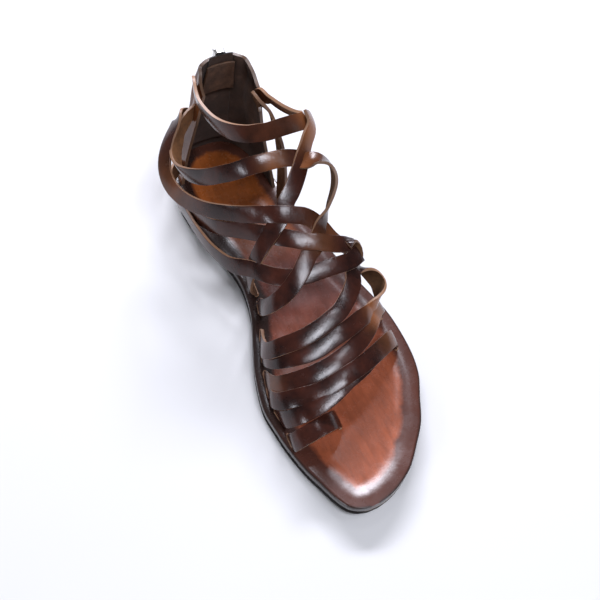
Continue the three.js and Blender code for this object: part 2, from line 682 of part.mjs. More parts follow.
const sliderTop = zipHigh + 4;
const sliderFoot = sliderTop - sliderHigh;
const chainFrom = slitFrom + 1;
const chainTo = sliderFoot - gap;
const toothThick = 1.5;
const toothAt = -counterWall + toothThick / 2 + 0.1;
function chainSolid() {
  const edge = new THREE.Shape();
  const count = Math.floor((chainTo - chainFrom) / toothPitch);
  const root = chainWidth * 0.25;
  const tip = chainWidth * 0.5;
  edge.moveTo(root, chainFrom);
  for (let i = 0; i < count; i += 1) {
    const at = chainFrom + i * toothPitch;
    edge.lineTo(tip, at);
    edge.lineTo(tip, at + toothPitch * 0.5);
    edge.lineTo(root, at + toothPitch * 0.5);
    edge.lineTo(root, at + toothPitch);
  }
  for (let i = count; i > 0; i -= 1) {
    const at = chainFrom + i * toothPitch;
    edge.lineTo(-tip, at);
    edge.lineTo(-tip, at - toothPitch * 0.5);
    edge.lineTo(-root, at - toothPitch * 0.5);
    edge.lineTo(-root, at - toothPitch);
  }
  edge.closePath();
  return inZip(new THREE.ExtrudeGeometry(edge, { depth: toothThick, bevelEnabled: false })
    .rotateX(Math.PI / 2)
    .translate(0, toothAt + toothThick / 2, 0));
}

// Slider: wide at the top, narrow at the foot, with two lugs and a pin across them
const pinHigh = sliderFoot + sliderHigh * 0.68;
function sliderSolid() {
  const wide = slitWidth - 1;
  const plan = new THREE.Shape();
  plan.moveTo(-wide * 0.34, sliderFoot);
  plan.lineTo(wide * 0.34, sliderFoot);
  plan.lineTo(wide * 0.5, sliderFoot + sliderHigh * 0.5);
  plan.lineTo(wide * 0.5, sliderTop - 1);
  plan.lineTo(wide * 0.3, sliderTop);
  plan.lineTo(-wide * 0.3, sliderTop);
  plan.lineTo(-wide * 0.5, sliderTop - 1);
  plan.lineTo(-wide * 0.5, sliderFoot + sliderHigh * 0.5);
  plan.closePath();
  const body = new THREE.ExtrudeGeometry(plan, { depth: counterWall + 1.5, bevelEnabled: false })
    .rotateX(Math.PI / 2)
    .translate(0, 1.5, 0);
  const lug = (side) => block(0.8, pinOut, 2.6, [side * 1.9, pinOut / 2 + 0.9, pinHigh]);
  return union([inZip(body), inZip(lug(-1)), inZip(lug(1)), inZip(barAlongX(pinRadius, 4.4)
    .translate(0, pinOut, pinHigh))]);
}

// Pull tab: an eye round the pin and a plate with a hole, hanging plumb
function pullSolid() {
  const plate = new THREE.Shape();
  plate.moveTo(-1.2, 0);
  plate.lineTo(-1.2, -4);
  plate.lineTo(-2.6, -6);
  plate.lineTo(-3, -pullLength + 2);
  plate.quadraticCurveTo(-2.8, -pullLength, 0, -pullLength);
  plate.quadraticCurveTo(2.8, -pullLength, 3, -pullLength + 2);
  plate.lineTo(2.6, -6);
  plate.lineTo(1.2, -4);
  plate.lineTo(1.2, 0);
  plate.closePath();
  const hole = new THREE.Path();
  hole.absarc(0, -pullLength + 3.4, 1.3, 0, Math.PI * 2, true);
  plate.holes.push(hole);
  const flat = new THREE.ExtrudeGeometry(plate, { depth: pullThick, bevelEnabled: false, curveSegments: 8 })
    .rotateX(Math.PI / 2)
    .translate(0, pullThick / 2, 0);
  const hang = Math.atan2(zipOut.z, zipUp.z);
  const hung = (geometry) => inZip(geometry.rotateX(-hang).translate(0, pinOut, pinHigh));
  const ring = hung(barAlongX(pinRadius + 1.1, 2.4));
  const bore = hung(barAlongX(pinRadius + gap, 6));
  return hung(flat).add(ring).subtract(bore);
}

const toeLoop = sweep(toeLoopList, strapWidth * 1.05, strapThick);
const upper = union([counter, ...strapSolids]);

// Sole
const outsole = slab({ bottom: groundAt, top: outsoleTop, columns: 4, stations: 40 });
const heelTo = 0.285;
const heel = slab({
  to: heelTo, scale: 1, bottom: () => 0, top: (along) => groundAt(along) - gap, stations: 16, columns: 2,
});
const slots = union([
  wall({ outer: gap * 8, inner: -counterWall - gap, depth: 2, beyond: 1.6 }),
  sweep(toeLoopList, strapWidth * 1.05, strapThick, gap),
  ...straps.map((strap, i) => strapSolid(strap, i, gap)),
]);
const insole = slab({
  scale: 0.988, bottom: insoleBottom, top: footbed, rim: rimHeight, stations: 40, columns: 8,
}).subtract(slots);

// Whole sandal, moved so that the middle of its floor outline is the origin
const sandal = new THREE.Group();
sandal.name = 'crisscross_sandal';
const parts = [
  meshOf('outsole', outsole, '#241812', 0.8),
  meshOf('heel', heel, '#1f1511', 0.8),
  meshOf('insole', mainBody(insole), '#8a4424', 0.45),
  meshOf('upper', mainBody(upper), '#4a2418', 0.4),
  meshOf('toe_loop', toeLoop, '#4a2418', 0.4),
  meshOf('zip_tape', tape, '#17130f', 0.9),
  meshOf('zip_guard', guard, '#5a3423', 0.7),
  meshOf('zip_teeth', chainSolid(), '#b9b5ab', 0.35, 1),
  meshOf('zip_slider', sliderSolid(), '#c4c1b8', 0.3, 1),
  meshOf('zip_pull', pullSolid(), '#c4c1b8', 0.3, 1),
];
const box = new THREE.Box3();
parts.forEach((part) => {
  part.geometry.computeBoundingBox();
  box.union(part.geometry.boundingBox);
});
const middle = box.getCenter(new THREE.Vector3());
parts.forEach((part) => {
  part.geometry.translate(-middle.x, -middle.y, -box.min.z);
  sandal.add(part);
});

export default sandal;
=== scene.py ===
"""Crisscross leather sandal: leather, zip, stitches, floor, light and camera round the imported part."""

import math
from collections import namedtuple
from contextlib import contextmanager
from types import SimpleNamespace

import bpy
from mathutils import Matrix, Vector, kdtree


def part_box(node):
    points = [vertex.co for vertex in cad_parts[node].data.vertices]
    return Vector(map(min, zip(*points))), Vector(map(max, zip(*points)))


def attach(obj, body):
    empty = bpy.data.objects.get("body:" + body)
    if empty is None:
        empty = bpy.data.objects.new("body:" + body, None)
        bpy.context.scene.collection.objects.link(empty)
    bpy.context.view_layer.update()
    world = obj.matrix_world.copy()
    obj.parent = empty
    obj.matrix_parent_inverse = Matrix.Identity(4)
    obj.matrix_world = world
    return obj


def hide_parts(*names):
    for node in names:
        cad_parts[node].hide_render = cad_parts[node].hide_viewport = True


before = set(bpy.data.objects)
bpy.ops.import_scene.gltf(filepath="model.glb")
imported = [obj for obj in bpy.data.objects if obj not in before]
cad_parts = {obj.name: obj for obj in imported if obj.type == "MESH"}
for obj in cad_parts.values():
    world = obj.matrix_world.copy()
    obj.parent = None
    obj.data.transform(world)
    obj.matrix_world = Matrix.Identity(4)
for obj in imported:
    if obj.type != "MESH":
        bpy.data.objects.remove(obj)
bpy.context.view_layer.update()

bl_info = {
    "name": "Crisscross sandal",
    "version": (1, 0, 0),
    "blender": (4, 5, 0),
    "location": "3D View > Sidebar > Sandal",
    "description": "Builds the leather, zip and stage of a crisscross sandal round its packed frame",
    "category": "Add Mesh",
}

# Sizes in millimetres, in the frame's directions: toe towards -Y, outer side towards +X
MM = 0.001
LENGTH = 262
BALL_WIDTH = 92
INSTEP = 66
HEEL_HEIGHT = 7
TOE_SPRING = 5
COUNTER_HEIGHT = 80
COUNTER_WALL = 2
OUTSOLE_THICK = 4
INSOLE_THICK = 3.5
RIM_HEIGHT = 1.4
RIM_REACH = 20
STRAP_WIDTH = 9.4
STRAP_THICK = 2
STRAP_STEP = 1.8
LOOP_STEP = 1.2
FOOT_BURIED = 1.7
FOOT_OVER_BED = 1.2
SLIT_WIDTH = 7.4
SLIT_FROM = 16
TAPE_THICK = 0.8
GUARD_THICK = 1.2
GAP = 0.3

# Roundness of the sections, the counter's drop in front as a share of its height, the toe loop's extra width
LAST_POWER = 0.8
COUNTER_POWER = 0.72
COUNTER_DROP = 0.15
LOOP_WIDENING = 1.05

# Shares of the sole's length where the counter and its back stand
COUNTER_ALONG = 0.1
BACK_ALONG = 0.02

# Steps along the sole's edge, and passes that smooth the way a strap faces
EDGE_STEPS = 500
TWIST_PASSES = 8

# Body that carries every piece this script models
SHOE = "sandal"

LastRow = namedtuple("LastRow", "along centre half height heel spring")
CounterRow = namedtuple("CounterRow", "up inner inner_front outer outer_front back")
StrapRow = namedtuple("StrapRow", "along round lift weave roll", defaults=(0, 0))
Joint = namedtuple("Joint", "up turn")
Strap = namedtuple("Strap", "name start end rows")
LoopRow = namedtuple("LoopRow", "along across up face")
Fold = namedtuple("Fold", "turn up turn_reach up_reach depth")
Station = namedtuple("Station", "place tangent outward along")

# Last and sole by share of the length from the heel: centre and half in ball widths, height in insteps
LAST = [LastRow(*row) for row in (
    (0.00, -0.04, 0.000, 1.50, 1.00, 0.00), (0.01, -0.04, 0.135, 1.50, 1.00, 0.00),
    (0.03, -0.04, 0.215, 1.50, 1.00, 0.00), (0.08, -0.04, 0.300, 1.50, 1.00, 0.00),
    (0.14, -0.04, 0.330, 1.48, 1.00, 0.00), (0.20, -0.03, 0.332, 1.42, 1.00, 0.00),
    (0.30, 0.01, 0.325, 1.24, 1.00, 0.00), (0.40, 0.065, 0.325, 1.02, 0.66, 0.00),
    (0.50, 0.088, 0.367, 0.83, 0.22, 0.00), (0.59, 0.075, 0.447, 0.67, 0.00, 0.00),
    (0.64, 0.059, 0.482, 0.60, 0.00, 0.00), (0.72, 0.033, 0.503, 0.48, 0.00, 0.00),
    (0.78, 0.021, 0.479, 0.41, 0.00, 0.00), (0.83, -0.005, 0.432, 0.35, 0.00, 0.04),
    (0.88, -0.027, 0.377, 0.30, 0.00, 0.20), (0.92, -0.056, 0.309, 0.27, 0.00, 0.42),
    (0.96, -0.092, 0.232, 0.24, 0.00, 0.72), (0.985, -0.128, 0.150, 0.22, 0.00, 0.90),
    (1.00, -0.150, 0.000, 0.20, 0.00, 1.00),
)]

# Heel counter by share of its height: sides in ball widths, front edges and back by share of the length
COUNTER = [CounterRow(*row) for row in (
    (0.00, -0.330, 0.118, 0.265, 0.225, 0.006), (0.25, -0.290, 0.114, 0.276, 0.175, 0.014),
    (0.50, -0.235, 0.110, 0.274, 0.140, 0.022), (0.75, -0.172, 0.106, 0.267, 0.126, 0.030),
    (1.00, -0.108, 0.100, 0.258, 0.118, 0.038),
)]

# Soft troughs and ridges of the worn counter: middle and reach in shares of turn and height, depth in mm
COUNTER_FOLDS = [Fold(*row) for row in (
    (0.16, 0.70, 0.05, 0.22, -1.2), (0.24, 0.84, 0.05, 0.16, 1.1), (0.30, 0.55, 0.06, 0.20, -0.9),
    (0.70, 0.80, 0.05, 0.20, -1.1), (0.80, 0.88, 0.06, 0.10, 1.9), (0.86, 0.62, 0.05, 0.16, -1.3),
    (0.93, 0.84, 0.05, 0.12, 1.2), (0.10, 0.38, 0.06, 0.14, 0.8), (0.90, 0.34, 0.07, 0.14, -0.8),
)]

# Straps on the last: along from the heel, round from the inner edge over the top to the outer edge,
# lift in millimetres, weave in strap thicknesses, roll in degrees; slots or joints on the counter end them
SLOT = "slot"
STRAPS = [Strap(name, start, end, [StrapRow(*row) for row in rows]) for name, start, end, rows in (
    ("ankle", Joint(0.90, 0.07), Joint(0.78, 0.95), (
        (0.088, 0.300, -13.0, 0, 10), (0.110, 0.288, -9.3, 0, 25), (0.161, 0.284, -7.6, 0, 30),
        (0.234, 0.335, -4.0, 0, 35), (0.290, 0.438, 0, 0, 32), (0.303, 0.530, 0, 0, 28),
        (0.304, 0.615, 6, 0, 18), (0.298, 0.671, 13.5, -0.45), (0.278, 0.702, 12),
        (0.235, 0.718, 5), (0.190, 0.730, 0), (0.140, 0.740, -5),
    )),
    ("ankle return", None, SLOT, (
        (0.285, 0.672, 15, 0.45), (0.312, 0.672, 13.5, 0.45), (0.334, 0.655, 8.0, 0.45),
        (0.357, 0.628, 3.0, 0.45), (0.412, 0.508, 0), (0.443, 0.432, 0, -0.45),
        (0.462, 0.345, 0, 0.45), (0.478, 0.185, 3, -0.45), (0.474, 0.085, 0), (0.452, 0.000, -6),
    )),
    ("second", Joint(0.78, 0.07), None, (
        (0.080, 0.215, -12.5, 0, 20), (0.120, 0.146, -5.0, 0, 40), (0.160, 0.118, 1.6, 0, 50),
        (0.211, 0.125, 4.8, 0, 20), (0.275, 0.182, 2.5), (0.326, 0.299, 0), (0.348, 0.427, 0),
        (0.354, 0.520, 0), (0.357, 0.628, 3.0, -0.45), (0.354, 0.650, 4.5, -0.45),
    )),
    ("second return", SLOT, None, (
        (0.499, 0.000, -6), (0.549, 0.155, -4), (0.574, 0.330, 0), (0.556, 0.430, 0, 0.45),
        (0.529, 0.482, 0), (0.511, 0.517, 0, -0.45), (0.484, 0.563, 0, 0.45, 24),
        (0.466, 0.598, 4.5, 0, 60), (0.437, 0.624, 13.5, 0, 60), (0.407, 0.628, 16.0, 0, 40),
        (0.382, 0.620, 11.5, 0, 0), (0.362, 0.612, 1.5, -0.45, 0),
    )),
    ("side", Joint(0.72, 0.96), SLOT, (
        (0.150, 0.740, -6), (0.192, 0.716, -5), (0.224, 0.725, -2.5), (0.246, 0.775, -4),
        (0.252, 0.880, -5), (0.255, 1.000, -6),
    )),
    ("third", Joint(0.72, 0.07), SLOT, (
        (0.072, 0.205, -13.0), (0.104, 0.160, -4.0, 0, -10), (0.136, 0.125, 4.5, 0, -25),
        (0.176, 0.099, 10.0, 0, -35), (0.223, 0.097, 12.0, 0, -30), (0.275, 0.113, 11.4, 0, -15),
        (0.331, 0.155, 8.4), (0.378, 0.220, 2.5), (0.416, 0.320, 0), (0.443, 0.432, 0, 0.45),
        (0.459, 0.510, 0), (0.482, 0.568, 0, -0.45), (0.508, 0.604, 0, -0.45),
        (0.521, 0.700, -1.5, -0.45), (0.523, 0.850, -4), (0.525, 1.000, -6),
    )),
    ("fourth", None, None, (
        (0.222, 0.046, 5.4), (0.297, 0.074, 6.9), (0.361, 0.133, 6.5), (0.415, 0.220, 1.0),
        (0.462, 0.345, 0, -0.45), (0.489, 0.440, 0), (0.511, 0.517, 0, 0.45),
        (0.523, 0.590, 0, 0.45), (0.524, 0.690, 0, 0.45), (0.525, 0.730, 1, 0.45),
    )),
    ("fifth", Joint(0.14, 0.10), None, (
        (0.090, 0.030, -1.0), (0.135, 0.035, 2.5), (0.189, 0.039, 5.9), (0.260, 0.049, 8.1),
        (0.320, 0.062, 10.5), (0.383, 0.083, 11.5), (0.438, 0.119, 9.0), (0.478, 0.185, 3, 0.45),
        (0.524, 0.290, 0), (0.556, 0.430, 0, -0.45), (0.561, 0.525, 0), (0.559, 0.628, 0, 0.45),
        (0.543, 0.715, 1, 0.45),
    )),
    ("small loop", None, None, (
        (0.522, 0.650, 1.2, 0, -20), (0.516, 0.684, 1.0, 0, -60), (0.520, 0.704, 0.8, 0, -90),
        (0.532, 0.710, 0.6, 0, -110), (0.546, 0.690, 0.4, 0, -150),
    )),
    ("sixth", SLOT, SLOT, (
        (0.566, 0.000, -6), (0.630, 0.140, -4, 0.45), (0.661, 0.305, 0, 0.45),
        (0.666, 0.423, 0, 0.45), (0.655, 0.495, 0, 0.45), (0.633, 0.542, 0), (0.603, 0.597, 0),
        (0.572, 0.640, 0, -0.45), (0.563, 0.700, -1.5, -0.45, -30), (0.576, 0.770, -0.8, 0, -75),
        (0.595, 0.798, -0.4, 0, -90), (0.619, 0.782, -3.0, 0, -60),
        (0.644, 0.710, -7.0, -0.45, -20), (0.666, 0.588, -4.0), (0.686, 0.505, 0),
        (0.697, 0.435, 0), (0.692, 0.345, 0), (0.658, 0.175, -4), (0.607, 0.000, -6),
    )),
    ("seventh", SLOT, SLOT, (
        (0.662, 0.000, -6), (0.707, 0.170, -3, -0.45), (0.729, 0.305, 0, -0.45), (0.736, 0.400, 0),
        (0.732, 0.475, 0), (0.714, 0.538, -1.5), (0.680, 0.632, -6), (0.650, 0.730, -7.5, -0.45),
        (0.624, 0.870, -7), (0.612, 1.000, -7),
    )),
    ("eighth", SLOT, SLOT, (
        (0.692, 0.000, -6), (0.740, 0.160, -3, 0.45), (0.762, 0.297, 0), (0.771, 0.390, 0),
        (0.767, 0.473, 0, 0.45), (0.752, 0.542, -2), (0.726, 0.660, -8), (0.703, 0.830, -9),
        (0.693, 1.000, -8),
    )),
    ("front", SLOT, None, (
        (0.752, 0.000, -6), (0.778, 0.140, -3.5), (0.794, 0.297, 0), (0.793, 0.379, 0),
        (0.784, 0.445, 0), (0.767, 0.503, 0, -0.45), (0.746, 0.567, -3.3, -0.45),
    )),
)]

# Toe loop: across in ball widths from the middle, up in millimetres over the footbed
TOE_LOOP = [LoopRow(*row) for row in (
    (0.812, -0.405, 0, 180), (0.826, -0.410, 10, 165), (0.832, -0.345, 17.5, 110),
    (0.829, -0.240, 19, 75), (0.818, -0.140, 12, 20), (0.806, -0.105, 0, 0),
)]


def clamp(value, low, high):
    return max(low, min(high, value))


def reader(rows, key, column, power=1):
    """Smooth curve through one column of a table."""
    x = [getattr(row, key) for row in rows]
    y = [getattr(row, column) ** power for row in rows]
    last = len(rows) - 1
    slopes = []
    for i in range(last + 1):
        a, b = max(i - 1, 0), min(i + 1, last)
        is_peak = 0 < i < last and (y[i] - y[a]) * (y[b] - y[i]) <= 0
        slopes.append(0 if is_peak else (y[b] - y[a]) / (x[b] - x[a]))

    def read(at):
        if at > x[last]:
            return y[last] + slopes[last] * (at - x[last])
        k = 0
        while k < last - 1 and at > x[k + 1]:
            k += 1
        h = x[k + 1] - x[k]
        t = clamp((at - x[k]) / h, 0, 1)
        value = (2 * t**3 - 3 * t**2 + 1) * y[k] + (t**3 - 2 * t**2 + t) * h * slopes[k]
        value += (3 * t**2 - 2 * t**3) * y[k + 1] + (t**3 - t**2) * h * slopes[k + 1]
        return value if power == 1 else max(value, 0) ** (1 / power)

    return read


centre_at = reader(LAST, "along", "centre")
half_at = reader(LAST, "along", "half", 2)
height_at = reader(LAST, "along", "height")
heel_at = reader(LAST, "along", "heel")
spring_at = reader(LAST, "along", "spring")
counter_at = {column: reader(COUNTER, "up", column) for column in CounterRow._fields[1:]}


def section_y(along):
    return LENGTH / 2 - along * LENGTH


def ground_at(along):
    return HEEL_HEIGHT * heel_at(along) + TOE_SPRING * spring_at(along)


def floor_at(_):
    return 0


def heel_top(along):
    return ground_at(along) - GAP


def outsole_top(along):
    return ground_at(along) + OUTSOLE_THICK


def insole_bottom(along):
    return outsole_top(along) + GAP


def footbed(along):
    return insole_bottom(along) + INSOLE_THICK


def frame_shift():
    """Sideways move from the tables' middle to the frame's, read off the outsole."""
    shares = [k / EDGE_STEPS for k in range(EDGE_STEPS + 1)]
    low = min((centre_at(share) - half_at(share)) * BALL_WIDTH for share in shares)
    return Vector((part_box("outsole")[0].x / MM - low, 0, 0))


SHIFT = frame_shift()


def in_frame(point):
    """The point in metres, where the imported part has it."""
    return (point + SHIFT) * MM


def power_cos(value, power):
    return math.copysign(abs(value) ** power, value)


def last_point(along, round_, lift=0):
    """Point on the last at a share of the length and of the girth, lifted along the section's normal."""
    half = half_at(along) * BALL_WIDTH
    height = height_at(along) * INSTEP
    angle = math.pi * clamp(round_, 0, 1)
    c, s = math.cos(angle), max(math.sin(angle), 0)
    normal = Vector((-c / half, s / height)).normalized()
    return Vector((
        centre_at(along) * BALL_WIDTH - half * power_cos(c, LAST_POWER) + normal.x * lift,
        section_y(along),
        footbed(along) + height * s**LAST_POWER + normal.y * lift,
    ))


def last_normal(along, round_):
    r = clamp(round_, 0.03, 0.97)
    step = 0.01
    girth = last_point(along, r + step) - last_point(along, r - step)
    run = last_point(along + step, r) - last_point(along - step, r)
    return -girth.cross(run).normalized()


def counter_plan(up, turn, off):
    """Plan point of the counter at a share of its height and of its way round, off its outer face."""
    def spot(angle):
        c, s = math.cos(angle), math.sin(angle)
        left = counter_at["inner"](up) * BALL_WIDTH
        right = counter_at["outer"](up) * BALL_WIDTH
        front = section_y(counter_at["inner_front" if c > 0 else "outer_front"](up))
        back = section_y(counter_at["back"](up))
        x = (left + right) / 2 - (right - left) / 2 * power_cos(c, COUNTER_POWER)
        return Vector((x, front + (back - front) * s**COUNTER_POWER))

    angle = math.pi * turn
    run = spot(min(angle + 0.02, math.pi - 0.001)) - spot(max(angle - 0.02, 0.001))
    normal = Vector((-run.y, run.x)).normalized()
    return spot(clamp(angle, 0.001, math.pi - 0.001)) + normal * off


def counter_lift(up, turn):
    return up * COUNTER_HEIGHT * (1 - COUNTER_DROP * (1 - math.sin(math.pi * turn)) ** 2)


def counter_point(up, turn, off):
    plan = counter_plan(up, turn, off)
    along = clamp((LENGTH / 2 - plan.y) / LENGTH, 0, 0.3)
    return Vector((plan.x, plan.y, insole_bottom(along) + GAP + counter_lift(up, turn)))


def fold_off(up, turn):
    """Sum of the counter's worn troughs and ridges at one place, in millimetres."""
    return sum(
        fold.depth * math.exp(-(((turn - fold.turn) / fold.turn_reach) ** 2)
                              - ((up - fold.up) / fold.up_reach) ** 2)
        for fold in COUNTER_FOLDS
    )


def knot_curve(knots, t):
    """Centripetal curve through the knots, at a share of their count."""
    last = len(knots) - 1
    k = min(int(last * t), last - 1)
    w = last * t - k
    p1, p2 = knots[k], knots[k + 1]
    p0 = knots[k - 1] if k > 0 else p1 * 2 - p2
    p3 = knots[k + 2] if k + 2 <= last else p2 * 2 - p1
    d0, d1, d2 = [max((b - a).length_squared ** 0.25, 1e-6) for a, b in ((p0, p1), (p1, p2), (p2, p3))]
    m1 = ((p1 - p0) / d0 - (p2 - p0) / (d0 + d1) + (p2 - p1) / d1) * d1
    m2 = ((p2 - p1) / d1 - (p3 - p1) / (d1 + d2) + (p3 - p2) / d2) * d1
    return p1 + m1 * w + (p2 * 3 - p1 * 3 - m1 * 2 - m2) * w**2 + (p1 * 2 - p2 * 2 + m1 + m2) * w**3


def column_at(rows, column, t):
    """One column of a strap's rows at a share of their count, never past its neighbours."""
    last = len(rows) - 1
    k = min(int(t * last), last - 1)
    w = t * last - k
    a, b, c, d = [getattr(rows[int(clamp(i, 0, last))], column) for i in (k - 1, k, k + 1, k + 2)]
    ease = b + 0.5 * w * (c - a + w * (2 * a - 5 * b + 4 * c - d + w * (3 * (b - c) + d - a)))
    return clamp(ease, min(b, c), max(b, c))


def foot_stations(place, outward, along, sign):
    """Two upright stations of a strap's foot in its slot, the lower one inside the footbed."""
    down = Vector((0, 0, sign))
    low = Vector((place.x, place.y, insole_bottom(along) + FOOT_BURIED))
    high = Vector((place.x, place.y, footbed(along) + FOOT_OVER_BED))
    return [Station(low, down, outward, along), Station(high, down, outward, along)]


def clear_feet(stations, has_start, has_end):
    """Drops the stations that crowd a foot."""
    near = STRAP_WIDTH * 0.8
    while has_start and (stations[1].place - stations[2].place).length < near:
        del stations[2]
    while has_end and (stations[-2].place - stations[-3].place).length < near:
        del stations[-3]
    return stations


def counter_station(joint, following, sign):
    """Station inside the counter's wall, where a strap is joined to it."""
    plan = counter_plan(joint.up, joint.turn, -COUNTER_WALL / 2)
    face = counter_plan(joint.up, joint.turn, 0)
    high = insole_bottom(COUNTER_ALONG) + counter_lift(joint.up, joint.turn)
    place = Vector((plan.x, plan.y, high))
    outward = (Vector((face.x, face.y, high)) - place).normalized()
    return Station(place, (following - place).normalized() * sign, outward, COUNTER_ALONG)


def strap_stations(strap):
    """Stations of one strap from its rows, with its feet and its joints on the counter."""
    knots = [Vector((row.along * 10, row.round * 10, 0)) for row in strap.rows]
    last = len(knots) - 1

    def sample(t):
        at = knot_curve(knots, clamp(t, 0, 1))
        lift = column_at(strap.rows, "lift", t) + column_at(strap.rows, "weave", t) * STRAP_THICK
        return at.x / 10, at.y / 10, last_point(at.x / 10, at.y / 10, lift)

    stations = []
    for step in range(last * 3 + 1):
        t = step / (last * 3)
        along, round_, place = sample(t)
        tangent = (sample(min(t + 0.004, 1))[2] - sample(max(t - 0.004, 0))[2]).normalized()
        roll = Matrix.Rotation(math.radians(column_at(strap.rows, "roll", t)), 3, tangent)
        stations.append(Station(place, tangent, roll @ last_normal(along, round_), along))
    first, final = stations[0], stations[-1]
    if strap.start == SLOT:
        stations[:1] = foot_stations(first.place, first.outward, first.along, 1)
    if strap.end == SLOT:
        stations[-1:] = foot_stations(final.place, final.outward, final.along, -1)[::-1]
    if isinstance(strap.start, Joint):
        stations[:3] = [counter_station(strap.start, stations[3].place, 1)]
    if isinstance(strap.end, Joint):
        stations[-3:] = [counter_station(strap.end, stations[-4].place, -1)]
    return clear_feet(stations, strap.start == SLOT, strap.end == SLOT)


def toe_loop_stations():
    """Stations of the toe loop, with its two feet."""
    knots = [
        Vector((row.across * BALL_WIDTH, section_y(row.along), footbed(row.along) + row.up))
        for row in TOE_LOOP
    ]

    def facing(degrees):
        angle = math.radians(degrees)
        return Vector((math.cos(angle), 0, math.sin(angle)))

    last = len(knots) - 1
    stations = []
    for step in range(last * 4 + 1):
        t = step / (last * 4)
        tangent = (knot_curve(knots, min(t + 0.01, 1)) - knot_curve(knots, max(t - 0.01, 0))).normalized()
        outward = facing(column_at(TOE_LOOP, "face", t))
        stations.append(Station(knot_curve(knots, t), tangent, outward, TOE_LOOP[0].along))
    ends = [
        foot_stations(knots[k], facing(TOE_LOOP[k].face), TOE_LOOP[k].along, sign)
        for k, sign in ((0, 1), (-1, -1))
    ]
    stations[:1] = ends[0]
    stations[-1:] = ends[1][::-1]
    return clear_feet(stations, True, True)


def even_stations(stations, spacing):
    """The same strap with stations at an even spacing along a smooth curve."""
    places = [station.place for station in stations]
    steps = 12
    spans = steps * (len(places) - 1)
    fine = [knot_curve(places, k / spans) for k in range(spans + 1)]
    travel = [0]
    for a, b in zip(fine, fine[1:]):
        travel.append(travel[-1] + (b - a).length)
    count = max(int(travel[-1] / spacing), 6)
    even = []
    k = 0
    for i in range(count + 1):
        goal = travel[-1] * i / count
        while k < len(fine) - 2 and travel[k + 1] < goal:
            k += 1
        share = (goal - travel[k]) / max(travel[k + 1] - travel[k], 1e-9)
        at = (k + clamp(share, 0, 1)) / steps
        low = min(int(at), len(places) - 2)
        outward = stations[low].outward.lerp(stations[low + 1].outward, at - low).normalized()
        even.append([fine[k].lerp(fine[k + 1], share), outward, goal])
    for _ in range(TWIST_PASSES):
        facing = [outward for _, outward, _ in even]
        for i in range(1, count):
            even[i][1] = (facing[i - 1] + facing[i] * 2 + facing[i + 1]).normalized()
    made = []
    for i, (place, outward, goal) in enumerate(even):
        tangent = (even[min(i + 1, count)][0] - even[max(i - 1, 0)][0]).normalized()
        made.append(Station(place, tangent, outward, goal))
    return made


STRAP_PATHS = {strap.name: even_stations(strap_stations(strap), STRAP_STEP) for strap in STRAPS}
LOOP_PATH = even_stations(toe_loop_stations(), LOOP_STEP)


# Zip frame: origin at the foot of the back, across, out and up along the back
def back_point(up):
    """Point at the middle of the counter's back, at a share of its height."""
    plan = counter_plan(up, 0.5, 0)
    return Vector((plan.x, plan.y, insole_bottom(BACK_ALONG) + up * COUNTER_HEIGHT))


ZIP_FOOT = back_point(0)
ZIP_UP = (back_point(1) - ZIP_FOOT).normalized()
ZIP_OUT = (Vector((0, 1, 0)) - ZIP_UP * ZIP_UP.y).normalized()
ZIP_ACROSS = ZIP_OUT.cross(ZIP_UP).normalized()


def zip_point(across, out, up):
    """Point at millimetres across, out and up in the zip's frame."""
    return ZIP_FOOT + ZIP_ACROSS * across + ZIP_OUT * out + ZIP_UP * up


# Materials
def shaded(color, share):
    """The same colour, darker or lighter."""
    return tuple(min(part * share, 1) for part in color)


def tones(color, *stops):
    """Ramp stops from pairs of a position and a share of the colour's lightness."""
    return [(position, shaded(color, share)) for position, share in stops]


